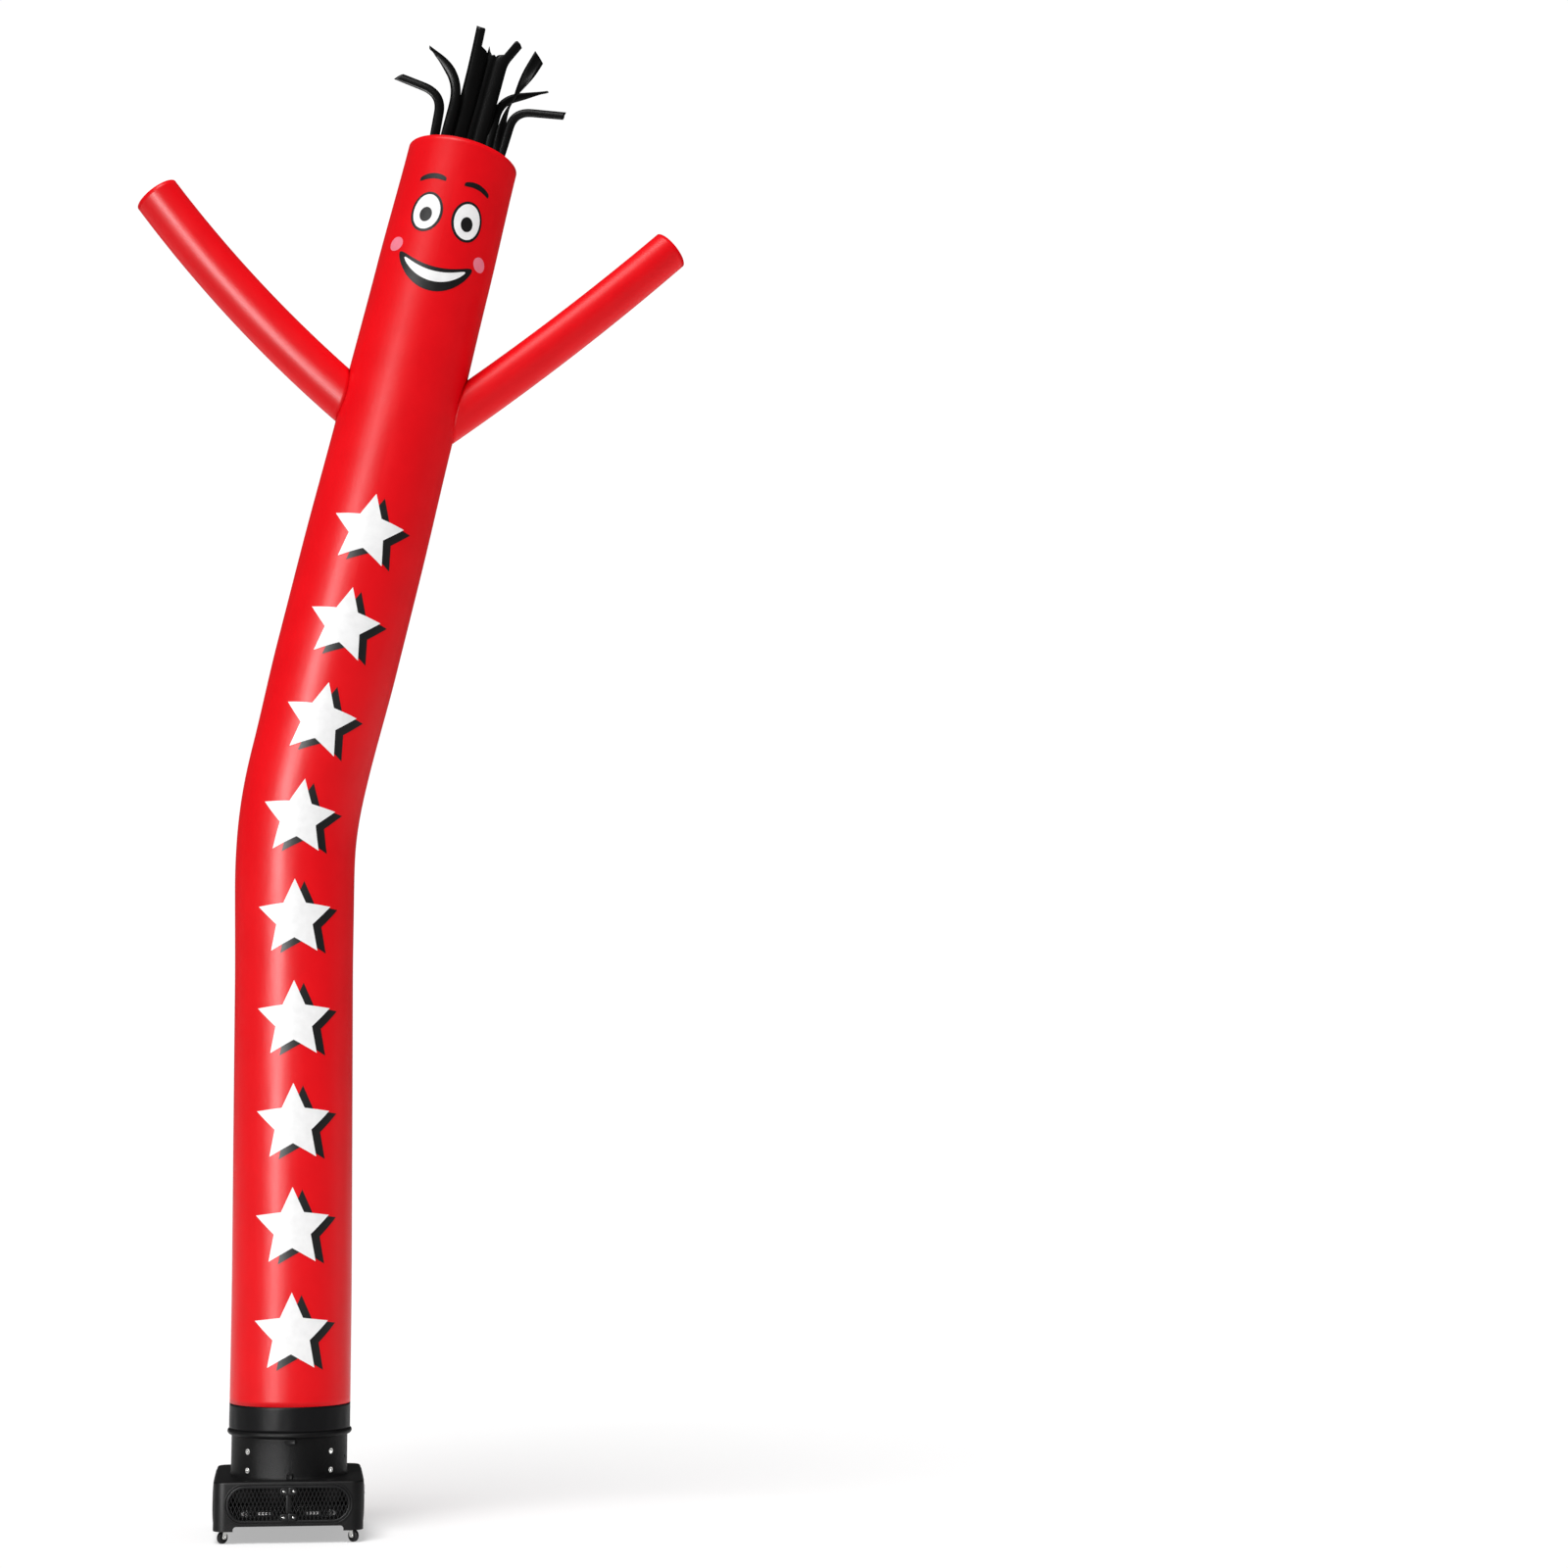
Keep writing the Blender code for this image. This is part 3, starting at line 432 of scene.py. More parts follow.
def dress(piece, material, *replaced, slot="", body="root"):
    """Gives a piece its finish, the body that it rides on and the solids that it replaces.

    The slot argument is not used.
    """
    piece.data.materials.clear()
    piece.data.materials.append(material)
    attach(piece, body)
    slot or material.name.split(".")[0]
    if replaced:
        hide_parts(*replaced)
    return piece


# %% [markdown]
# ## The arms' lines
#
# Each arm is a thinner tube that leaves the body at a slant and curves a little on its way. Its middle is
# walked in the same way. Where an arm meets the body, the body's cloth has a round opening so that the air
# can flow in, and the arm starts on the body's skin.

# %% The arms' lines
ARMS = {
    "arm_left": {"root": (0.154, 4.522), "heading": (139.0, 127.0), "radius": (0.100, 0.096)},
    "arm_right": {"root": (0.637, 4.470), "heading": (37.0, 42.5), "radius": (0.090, 0.0855)},
}
ARM_LENGTH = 1.146


def arm_place(arm, distance):
    """The middle of an arm at a distance from its root, with its heading there. It runs straight inside."""
    first, last = arm["heading"]
    at = Vector((arm["root"][0] + AXIS_X, 0, arm["root"][1]))
    if distance <= 0:
        heading = math.radians(first)
        return at + Vector((math.cos(heading), 0, math.sin(heading))) * distance, heading
    steps = max(1, int(distance / ARM_LENGTH * 60))
    for i in range(steps):
        heading = math.radians(first + (last - first) * (i + 0.5) * distance / steps / ARM_LENGTH)
        at += Vector((math.cos(heading), 0, math.sin(heading))) * (distance / steps)
    return at, math.radians(first + (last - first) * distance / ARM_LENGTH)


def on_arm(arm, angle, distance, lift=0.0):
    """The point of an arm's cloth at an angle round it and a distance from its root."""
    middle, heading = arm_place(arm, distance)
    share = min(1.0, max(0.0, distance / ARM_LENGTH))
    out = arm["radius"][0] + (arm["radius"][1] - arm["radius"][0]) * share + lift
    side = Vector((math.sin(heading), 0, -math.cos(heading)))
    return middle + side * (out * math.sin(angle)) + Vector((0, -out * math.cos(angle), 0))


def depth_in_tube(point):
    """How far a point lies outside the body's skin; inside, it is less than 0."""
    nearest = int(np.argmin((LINE_X - point.x) ** 2 + (LINE_Z - point.z) ** 2))
    away = math.hypot(math.hypot(LINE_X[nearest] - point.x, LINE_Z[nearest] - point.z), point.y)
    return away - radius_at(WALK[nearest])


def start_on_tube(arm, angle):
    """Where on its length a line of an arm's cloth comes out of the body."""
    low, high = -0.25, 0.35
    for _ in range(26):
        middle = (low + high) / 2
        if depth_in_tube(on_arm(arm, angle, middle)) < GAP:
            low = middle
        else:
            high = middle
    return high


print("left arm starts", round(start_on_tube(ARMS["arm_left"], 0.0), 3), "m from its root at the front")

# %% [markdown]
# ## The body of the dancer
#
# The body is one tube of cloth. The quads that lie inside an arm's opening are left out, and the points on
# the opening's edge are moved out to a clean circle.

# %% The body
BODY_SIDES, BODY_RINGS = 112, 252
BODY_ROUND = 2 * math.pi * 0.238


def arm_opening(point):
    """How far a point of the body's skin is inside the nearer arm's opening, with the way out of it."""
    best = (-1.0, None)
    for arm in ARMS.values():
        root, heading = arm_place(arm, 0)
        forward = Vector((math.cos(heading), 0, math.sin(heading)))
        away = point - root
        if away.dot(forward) < -0.2:
            continue
        out = away - forward * away.dot(forward)
        inside = arm["radius"][0] - 0.004 - out.length
        if inside > best[0]:
            best = (inside, out)
    return best


def body_point(across, along):
    point = on_tube(across * 2 * math.pi, along * TUBE_LENGTH)
    inside, out = arm_opening(point)
    if 0 < inside < 0.022:
        point = point + out.normalized() * inside
    return point


def outside_openings(across, along):
    return arm_opening(on_tube(across * 2 * math.pi, along * TUBE_LENGTH))[0] < 0.010


body_tube = cloth_grid(
    "dancer_body", body_point, (BODY_ROUND, TUBE_LENGTH), BODY_SIDES, BODY_RINGS, True, outside_openings
)
thicken(body_tube, CLOTH)
dress(body_tube, red_nylon, "body_tube")
print("body", len(body_tube.data.polygons), "faces")

# %% [markdown]
# ## The arms
#
# A sleeve starts where its own line leaves the body's skin, so each column of its grid has its own length.

# %% The arms
for name, arm in ARMS.items():
    starts = {}

    def sleeve_point(across, along):
        angle = across * 2 * math.pi
        if across not in starts:
            starts[across] = start_on_tube(arm, angle)
        reach = starts[across] + (ARM_LENGTH - starts[across]) * along
        return on_arm(arm, angle, reach)

    size = (2 * math.pi * arm["radius"][0], ARM_LENGTH)
    sleeve = cloth_grid("sleeve_" + name[4:], sleeve_point, size, 56, 64, True)
    thicken(sleeve, CLOTH)
    dress(sleeve, red_nylon, name)
    print(sleeve.name, len(sleeve.data.polygons), "faces")

# %% [markdown]
# ## The cuff
#
# The cuff is a short band of heavier black cloth. It slips over the blower's outlet and grips its hook tape.

# %% The cuff
CUFF_LOW = RIDGE_Z + RIDGE_HALF * 0.86
CUFF_HIGH = TUBE_START - GAP


def cuff_point(across, along):
    angle = across * 2 * math.pi
    height = CUFF_LOW + (CUFF_HIGH - CUFF_LOW) * along
    pucker = 0.0009 * math.sin(angle * 23) * (1 - along) * math.sin(math.pi * min(1, along * 3) / 2)
    out = CUFF_R + pucker
    return Vector((AXIS_X + out * math.sin(angle), -out * math.cos(angle), height))


cuff_size = (2 * math.pi * CUFF_R, CUFF_HIGH - CUFF_LOW)
cuff = cloth_grid("cuff_band", cuff_point, cuff_size, 112, 10, True)
thicken(cuff, CLOTH)
dress(cuff, black_nylon, "cuff")

# %% [markdown]
# ## The ribbon hair
#
# The hair is one strip of thin black cloth, cut into ribbons that stay joined along a band. The band is sewn
# inside the back of the head's rim. Each ribbon rises in the blowing air and curls its own way, so a row of
# a table holds its width, its length, how it curls and twists, and how far its tip is cut away.

# %% The ribbons' table
RIBBONS = [
    dict(width=0.034, length=0.55, lean=-4, curl_from=0.27, curl_to=0.45, curl=-76, twist=10, back=6),
    dict(width=0.035, length=0.62, lean=1, curl_from=0.30, curl_to=0.60, curl=-66, twist=-15, back=-3),
    dict(width=0.058, length=0.71, lean=1, curl_from=0.30, curl_to=0.70, curl=-3, twist=8, back=-2),
    dict(width=0.036, length=0.62, lean=1, curl_from=0.40, curl_to=0.60, curl=1, twist=-4, back=0),
    dict(width=0.054, length=0.70, lean=1, curl_from=0.54, curl_to=0.63, curl=24, twist=-6, back=-2),
    dict(width=0.030, length=0.64, lean=0, curl_from=0.33, curl_to=0.52, curl=62, twist=10, back=8),
    dict(width=0.031, length=0.64, lean=2, curl_from=0.30, curl_to=0.42, curl=14, twist=182, back=-2),
    dict(width=0.031, length=0.55, lean=3, curl_from=0.27, curl_to=0.42, curl=80, twist=-8, back=-7),
]
# The space after each ribbon: cuts that have stayed shut have none
APART = (0.0, 0.009, 0.0, 0.0, 0.009, 0.0, 0.0)
# How far each of five places across a tip is longer or shorter: torn and slanted ends
TIPS = (
    (0.016, 0.010, 0.004, -0.002, -0.010),
    (-0.030, -0.012, -0.006, 0.0, 0.004),
    (0.004, 0.001, 0.0, -0.003, -0.006),
    (0.030, 0.006, -0.010, -0.004, -0.016),
    (-0.004, 0.0, 0.004, 0.002, -0.008),
    (-0.004, 0.0, 0.0, -0.006, -0.014),
    (-0.010, 0.0, 0.010, 0.016, 0.022),
    (0.006, 0.003, 0.0, 0.0, -0.004),
)
# Where a ribbon is cut or torn narrower: from which share to which, and what is left of its two halves
NARROWED = {
    1: (0.78, 1.0, 0.1, 0.6),
    2: (0.865, 0.870, 1.0, 0.1),
    4: (0.865, 0.870, 0.2, 1.0),
    5: (0.74, 1.0, 0.5, 0.02),
    6: (0.60, 0.9, 1.5, 1.5),
}
# Loose ribbons spread a little and lie over their neighbours
SPREAD, OVERLAP = 1.24, 0.0016
BAND_HIGH, BAND_BELOW = 0.045, 0.008
RIBBON_STEPS, RIBBON_COLUMNS = 60, 4
band_r = (0.2320 - CLOTH) * math.cos(math.pi / 24) - 2 * GAP
total = sum(r["width"] for r in RIBBONS) + sum(APART)
print("the hair's band is", round(total, 3), "m long")


# %% [markdown]
# ## The line of a ribbon
#
# The middle of a ribbon is walked like the tube's, first straight up and then along its curl. At each step
# its cloth also turns from the band's direction to its own.

# %% The line of a ribbon
def band_point(distance, rise):
    """A point of the band, a distance round the back of the rim and a rise above its top."""
    angle = distance / band_r
    return Vector((band_r * math.sin(angle), band_r * math.cos(angle), rise))


def ribbon_rows(ribbon, root):
    """Points up the middle of a ribbon, each with the directions along it, across it and out of it."""
    side, rise, depth = root.x, 0.0, root.y
    step = ribbon["length"] / RIBBON_STEPS
    across_root = Vector((root.y, -root.x, 0)).normalized()
    for i in range(1, RIBBON_STEPS + 1):
        distance = step * (i - 0.5)
        curled = float(ease(distance, ribbon["curl_from"], ribbon["curl_to"]))
        heading = math.radians(ribbon["lean"] + ribbon["curl"] * curled)
        back = math.radians(ribbon["back"]) * float(ease(distance, 0.0, 0.3))
        side += step * math.sin(heading) * math.cos(back)
        rise += step * math.cos(heading) * math.cos(back)
        depth += step * math.sin(back)
        flat = Vector((math.cos(heading), 0, -math.sin(heading)))
        across = across_root.lerp(flat, float(ease(distance, 0.0, 0.25))).normalized()
        tangent = Vector((math.sin(heading), 0, math.cos(heading)))
        twist = math.radians(ribbon["twist"]) * float(ease(distance, 0.15, ribbon["length"]))
        across = Matrix.Rotation(twist, 3, tangent) @ across
        yield i / RIBBON_STEPS, Vector((side, depth, rise)), tangent, across, across.cross(tangent)


def part_across(number, column, share):
    """Where a column of a ribbon lies across it, from -0.5 to 0.5, after its tears."""
    part = (column / RIBBON_COLUMNS - 0.5) * (1 + (SPREAD - 1) * float(ease(share, 0.0, 0.12)))
    if number in NARROWED:
        start, end, left, right = NARROWED[number]
        torn = float(ease(share, start, end))
        part *= 1 + ((left if part < 0 else right) - 1) * torn
    return part


# %% [markdown]
# ## The strip of ribbons
#
# The strip is built from left to right. The band gets one quad for each column of a ribbon, and the ribbon
# rises from it row by row, so that the whole of the hair is one sheet.

# %% The ribbon hair
bm = bmesh.new()
cloth_uv = bm.loops.layers.uv.new("cloth")


def quad(corners, places):
    face = bm.faces.new(corners)
    face.smooth = True
    for loop, place in zip(face.loops, places):
        loop[cloth_uv].uv = place


def band_edge(distance):
    return [bm.verts.new(band_point(distance, h)) for h in (-BAND_BELOW - BAND_HIGH, -BAND_BELOW)]


def band_quad(left, right, start, end):
    places = [(start, 0), (end, 0), (end, -BAND_HIGH), (start, -BAND_HIGH)]
    quad((left[1], right[1], right[0], left[0]), places)


across = -total / 2
left = band_edge(across)
for number, ribbon in enumerate(RIBBONS):
    wide = ribbon["width"] / RIBBON_COLUMNS
    below = [left[1]]
    for column in range(RIBBON_COLUMNS):
        right = band_edge(across + wide * (column + 1))
        band_quad(left, right, across + wide * column, across + wide * (column + 1))
        below.append(right[1])
        left = right
    height = 0.0
    for share, centre, tangent, sideways, out in ribbon_rows(ribbon, band_point(across + wide * 2, 0)):
        row = []
        for column in range(RIBBON_COLUMNS + 1):
            part = part_across(number, column, share)
            fold = 0.2 * ribbon["width"] * (0.5 - abs(part)) * min(1, share * 6)
            fold += OVERLAP * (number % 2 * 2 - 1) * min(1, share * 20)
            torn = tangent * (TIPS[number][column] * float(ease(share, 0.93, 1.0)))
            point = centre + sideways * (ribbon["width"] * part) + out * fold + torn
            row.append(bm.verts.new(point - Vector((0, 0, BAND_BELOW))))
        top = share * ribbon["length"]
        for column in range(RIBBON_COLUMNS):
            u, v = across + wide * column, across + wide * (column + 1)
            corners = (row[column], row[column + 1], below[column + 1], below[column])
            quad(corners, [(u, top), (v, top), (v, height), (u, height)])
        below, height = row, top
    across += ribbon["width"]
    if number < len(APART) and APART[number]:
        right = band_edge(across + APART[number])
        band_quad(left, right, across, across + APART[number])
        across += APART[number]
        left = right
hair_mesh = bpy.data.meshes.new("ribbon_hair")
bm.to_mesh(hair_mesh)
bm.free()
rim_middle = Vector((LINE_X[-1], 0, LINE_Z[-1]))
hair_mesh.transform(Matrix.Translation(rim_middle) @ Matrix.Rotation(HIGH_LEAN, 4, "Y"))
hair = bpy.data.objects.new("ribbon_hair", hair_mesh)
bpy.context.scene.collection.objects.link(hair)
thicken(hair, 0.0008)
dress(hair, ribbon_nylon, "hair")

# %% [markdown]
# ## Shaping by hand
#
# The hard pieces are modelled as by hand: a primitive is added at its size and place, then faces or edges
# are picked in edit mode and extruded, inset or bevelled. These helpers keep that short. `begin` adds the
# primitive, `shaping` enters and leaves edit mode, and `choose` picks by place and direction.


# %% Starting and picking
def begin(name, primitive, **how):
    """Adds a primitive, names it and puts its place and size into its mesh."""
    bpy.ops.object.select_all(action="DESELECT")
    primitive(**how)
    piece = bpy.context.object
    piece.name = piece.data.name = name
    bpy.ops.object.transform_apply(location=True, rotation=True, scale=True)
    return piece


class shaping:
    """Edit mode on one piece, for the lines under a with."""

    def __init__(self, piece):
        self.piece = piece

    def __enter__(self):
        only(self.piece)
        bpy.ops.object.mode_set(mode="EDIT")

    def __exit__(self, *_):
        bpy.ops.object.mode_set(mode="OBJECT")


def choose(piece, kind, test):
    """In edit mode, selects the verts, edges or faces whose middle and direction pass a test."""
    bpy.ops.mesh.select_mode(type={"verts": "VERT", "edges": "EDGE", "faces": "FACE"}[kind])
    bpy.ops.mesh.select_all(action="DESELECT")
    bm = bmesh.from_edit_mesh(piece.data)
    for item in getattr(bm, kind):
        if kind == "verts":
            middle, way = item.co, item.normal
        elif kind == "edges":
            middle = (item.verts[0].co + item.verts[1].co) / 2
            way = (item.verts[1].co - item.verts[0].co).normalized()
        else:
            middle, way = item.calc_center_median(), item.normal
        if test(middle, way):
            item.select_set(True)
    bm.select_flush_mode()
    bmesh.update_edit_mesh(piece.data)


def round_edges(piece, radius, segments, test):
    """In edit mode, rounds the edges that pass a test."""
    choose(piece, "edges", test)
    bpy.ops.mesh.bevel(offset=radius, segments=segments, profile=0.5, affect="EDGES")


def push(distance):
    """In edit mode, extrudes the picked faces along Y."""
    bpy.ops.mesh.extrude_region_move(TRANSFORM_OT_translate={"value": (0, distance, 0)})


def slide(x=0.0, y=0.0, z=0.0):
    """In edit mode, moves what is picked."""
    bpy.ops.transform.translate(value=(x, y, z))


# %% [markdown]
# ## Softening, cutting and joining
#
# Modifiers soften edges and cut one piece with another, and they are applied at once. A tool is removed when
# it has done its cut.


# %% Softening, cutting and joining
def drop(*pieces):
    """Removes pieces that were only tools or patterns."""
    for piece in pieces:
        bpy.data.objects.remove(piece, do_unlink=True)


def soften(piece, width, segments=2, angle=40):
    """Rounds the sharp edges of a piece."""
    bevel = piece.modifiers.new("soften", "BEVEL")
    bevel.width = width
    bevel.segments = segments
    bevel.limit_method = "ANGLE"
    bevel.angle_limit = math.radians(angle)
    bevel.use_clamp_overlap = True
    apply_all(piece)


def smooth(piece, angle=35):
    only(piece)
    bpy.ops.object.shade_smooth_by_angle(angle=math.radians(angle))


def carve(piece, tool):
    """Cuts a tool out of a piece, then removes the tool."""
    boolean = piece.modifiers.new("carve", "BOOLEAN")
    boolean.operation = "DIFFERENCE"
    boolean.solver = "EXACT"
    boolean.object = tool
    apply_all(piece)
    drop(tool)


def join(pieces, name):
    """Joins pieces into the first of them."""
    bpy.ops.object.select_all(action="DESELECT")
    for piece in pieces:
        piece.select_set(True)
    bpy.context.view_layer.objects.active = pieces[0]
    bpy.ops.object.join()
    pieces[0].name = pieces[0].data.name = name
    return pieces[0]


def copied(piece, name, place):
    """A copy of a piece with a mesh of its own, at another place."""
    mesh = piece.data.copy()
    mesh.name = name
    mesh.transform(place)
    again = bpy.data.objects.new(name, mesh)
    bpy.context.scene.collection.objects.link(again)
    return again


def moved(piece, place):
    """Puts a piece's place into its mesh."""
    piece.data.transform(place)
    piece.data.update()
    return piece


# %% [markdown]
# ## Boxes, rods and turned pieces
#
# Most pieces start as one of three forms. A turned piece is an outline, drawn point by point and spun round
# the Z axis.


# %% Boxes, rods and turned pieces
def block(name, size, at, bevel=0.0, segments=2):
    """A box with its edges softened."""
    piece = begin(name, bpy.ops.mesh.primitive_cube_add, size=1, location=at, scale=size)
    if bevel:
        soften(piece, bevel, segments)
    return piece


def rod(name, radius, length, at, axis="Z", sides=32):
    turn = {"X": (0, math.pi / 2, 0), "Y": (math.pi / 2, 0, 0), "Z": (0, 0, 0)}[axis]
    cylinder = bpy.ops.mesh.primitive_cylinder_add
    return begin(name, cylinder, vertices=sides, radius=radius, depth=length, location=at, rotation=turn)


def spun(name, outline, steps, closed=True):
    """A turned piece: its outline is drawn from (radius, height) pairs, point by point, then spun."""
    piece = begin(name, bpy.ops.mesh.primitive_plane_add, size=0.001)
    with shaping(piece):
        bpy.ops.mesh.select_mode(type="VERT")
        bpy.ops.mesh.select_all(action="SELECT")
        bpy.ops.mesh.merge(type="CENTER")
        slide(x=outline[0][0], z=outline[0][1])
        for (r0, z0), (r1, z1) in zip(outline, outline[1:]):
            bpy.ops.mesh.extrude_vertices_move(TRANSFORM_OT_translate={"value": (r1 - r0, 0, z1 - z0)})
        if closed:
            ends = [Vector((r, 0, z)) for r, z in (outline[0], outline[-1])]
            choose(piece, "verts", lambda at, _: min((at - end).length for end in ends) < 1e-5)
            bpy.ops.mesh.edge_face_add()
        bpy.ops.mesh.select_all(action="SELECT")
        bpy.ops.mesh.spin(steps=steps, angle=2 * math.pi, center=(0, 0, 0), axis=(0, 0, 1))
        bpy.ops.mesh.select_all(action="SELECT")
        bpy.ops.mesh.remove_doubles(threshold=0.00001)
        bpy.ops.mesh.normals_make_consistent(inside=False)
    return piece


def ring(name, inner, outer, low, high, steps=96):
    return spun(name, [(inner, high), (outer, high), (outer, low), (inner, low)], steps)


def spoke(angle, inner, outer, z, size):
    """In edit mode, adds a bar that runs outwards between two radii, with a width and a height."""
    middle = (inner + outer) / 2
    at = (middle * math.cos(angle), middle * math.sin(angle), z)
    bpy.ops.mesh.primitive_cube_add(size=1, location=at, rotation=(0, 0, angle), scale=(outer - inner, *size))


# %% [markdown]
# ## Places
#
# The blower is modelled round the Z axis and faces -Y. Its pieces are then turned and moved to the blower's
# own axis. `settle` does the last steps of almost every piece: smooth shading, its place and its finish.

# %% Places
ON_AXIS = Matrix.Translation((AXIS_X, 0, 0))
SIDES = {"front": 0, "right": 90, "back": 180, "left": 270}


def turned(degrees, axis="Z"):
    return Matrix.Rotation(math.radians(degrees), 4, axis)


def shifted(x, y, z):
    return Matrix.Translation((x, y, z))


def face_turn(turn):
    """The place, on a side of the base, of what is modelled for its front."""
    return ON_AXIS @ turned(turn)


def settle(piece, place, material, *replaced, angle=35, slot="", body="root"):
    """Smooths a piece, moves it to its place and dresses it."""
    smooth(piece, angle)
    return dress(moved(piece, place), material, *replaced, slot=slot, body=body)


# %% [markdown]
# ## Finishes of the blower
#
# The blower is black plastic in three grains: the base is finely sanded by its mould, the collar has a coarse
# leather pebble, and the guards are smoother. Screws are bright zinc, the tape is woven, the tyres are dull.


# %% Plastics of the blower
ROUGH_SPREAD = 0.12


def moulded(name, colour, roughness, grain, depth, gloss=0.2):
    """Moulded plastic with a pebbled grain of a size in metres."""
    material, wire, shader = new_finish(name, colour, roughness, Specular_IOR_Level=gloss)
    place = wire.on_piece()
    pebble = place.cells(1 / grain)
    drift = place.noise(9.0, 4.0, 0.6)
    base = linear(colour)
    worn = [c * 1.35 + 0.002 for c in base]
    feed(shader, "Base Color", drift.smooth(0.42, 0.78).mix(base, worn))
    feed(shader, "Roughness", drift * ROUGH_SPREAD + (roughness - ROUGH_SPREAD / 2))
    feed(shader, "Normal", (1 - pebble).bump(depth))
    return material


base_plastic = moulded("base_plastic", (0.055, 0.055, 0.057), 0.42, 0.0011, 0.00012, gloss=0.13)
collar_plastic = moulded("collar_plastic", (0.06, 0.06, 0.062), 0.42, 0.0026, 0.0006, gloss=0.09)
guard_plastic = moulded("guard_plastic", (0.085, 0.085, 0.088), 0.36, 0.0009, 0.00008, gloss=0.14)
tyre_black = moulded("tyre_black", (0.07, 0.07, 0.072), 0.45, 0.0016, 0.0001)
motor_iron = moulded("motor_iron", (0.12, 0.12, 0.12), 0.5, 0.003, 0.0003)
lead_black = moulded("lead_black", (0.09, 0.09, 0.09), 0.5, 0.0016, 0.0001)

# %% [markdown]
# ## Other finishes of the blower
#
# The zinc is brushed along its height. The tape's loops lie in rows round the collar, so their pattern is
# worked out from the angle round the blower's axis. The rocker is glossy red and its cover is clear.

# %% Other finishes of the blower
zinc_steel, wire, shader = new_finish("zinc_steel", (0.80, 0.80, 0.79), 0.26, Metallic=1.0)
brushed = wire.on_piece().stretch((900.0, 900.0, 60.0)).noise(1.0)
feed(shader, "Roughness", brushed * 0.16 + 0.18)

hook_tape, wire, shader = new_finish("hook_tape", (0.10, 0.10, 0.10), 0.85)
sideways, depth, height = wire.on_piece().parts()
around = wire.math("ARCTAN2", sideways - AXIS_X, depth) * COLLAR_R
loops = around.stripe(0.0022, 0.0014) * height.stripe(0.0018, 0.0012)
feed(shader, "Normal", loops.bump(0.0008))
feed(shader, "Base Color", loops.mix(linear((0.05, 0.05, 0.05)), linear((0.17, 0.17, 0.17))))

switch_red, wire, shader = new_finish("switch_red", (0.86, 0.10, 0.07), 0.22, Coat_Weight=0.4)
deeper = wire.on_piece().noise(160.0).smooth(0.3, 0.7)
feed(shader, "Base Color", deeper.mix((0.66, 0.012, 0.008), (0.78, 0.03, 0.02)))
clear_cover, wire, shader = new_finish("clear_cover", (0.88, 0.90, 0.92), 0.06, Alpha=0.13)
feed(shader, "Roughness", wire.on_piece().noise(220.0) * 0.1 + 0.02)
print("finishes", len(bpy.data.materials))

# %% [markdown]
# ## The base
#
# The base is one moulded shell, open below. It starts as a cube: the upright edges are rounded, the bottom
# is taken away and the top edge is softened. A long slot in each side lets the air in, and the sides are
# lower at the corners, where they make four legs. Solidify then gives the shell its wall.


# %% The base
def slot_solid(name, half, rise, depth, y, sides=64):
    """A long slot's solid, from a cylinder whose halves are moved apart. It lies along X and points to -Y."""
    piece = rod(name, rise, depth, (0, y, GRILLE_Z), "Y", sides)
    with shaping(piece):
        for way in (-1, 1):
            choose(piece, "verts", lambda at, _: at.x * way > 1e-4)
            slide(x=way * (half - rise))
    return piece


base_high = BASE_TOP - BASE_LOW
base = block("base_shell", (2 * BASE_HALF, 2 * BASE_HALF, base_high), (0, 0, BASE_LOW + base_high / 2))
with shaping(base):
    round_edges(base, BASE_CORNER, 12, lambda at, way: abs(way.z) > 0.9)
    choose(base, "faces", lambda at, way: way.z < -0.9)
    bpy.ops.mesh.delete(type="FACE")
    choose(base, "faces", lambda at, way: way.z > 0.9)
    bpy.ops.mesh.region_to_loop()
    bpy.ops.mesh.bevel(offset=0.008, segments=5, profile=0.5, affect="EDGES")
thicken(base, BASE_WALL)
THROUGH = 0.8
gap_size = (2 * (BASE_HALF - LEG_REACH), THROUGH, 2 * (FACE_LOW - BASE_LOW))
for turn in (0, 90):
    carve(base, moved(slot_solid("slot", GRILLE_HALF, GRILLE_RISE, THROUGH, 0), turned(turn)))
    carve(base, moved(block("gap", gap_size, (0, 0, BASE_LOW), 0.012, 6), turned(turn)))
carve(base, rod("bore", COLLAR_R - 0.004, 0.05, (0, 0, BASE_TOP), sides=96))
settle(base, ON_AXIS, base_plastic, "housing", slot="black_plastic", angle=30)
print("base", len(base.data.polygons), "faces")

# %% [markdown]
# ## The grilles
#
# Each side has a long window with a rounded rim. Behind it, thin slanted bars cross in steep diamonds about
# 15 mm wide. Each bar is a stretched cube that ends in the rim, so the code finds where its line leaves the
# slot. The seam between the two halves of the base runs down the front and the back.

# %% The bars of a grille
DIAMOND_WIDE, DIAMOND_HIGH = 0.0147, 0.034
BAR, BAR_DEEP = 0.0024, 0.008
BAR_Y = -BASE_HALF + 0.0055
RIM_WIDE, BAND_WIDE = 0.010, 0.0085


def in_slot(x, z, half, rise):
    beyond = max(0.0, abs(x) - (half - rise))
    return math.hypot(beyond, z) < rise


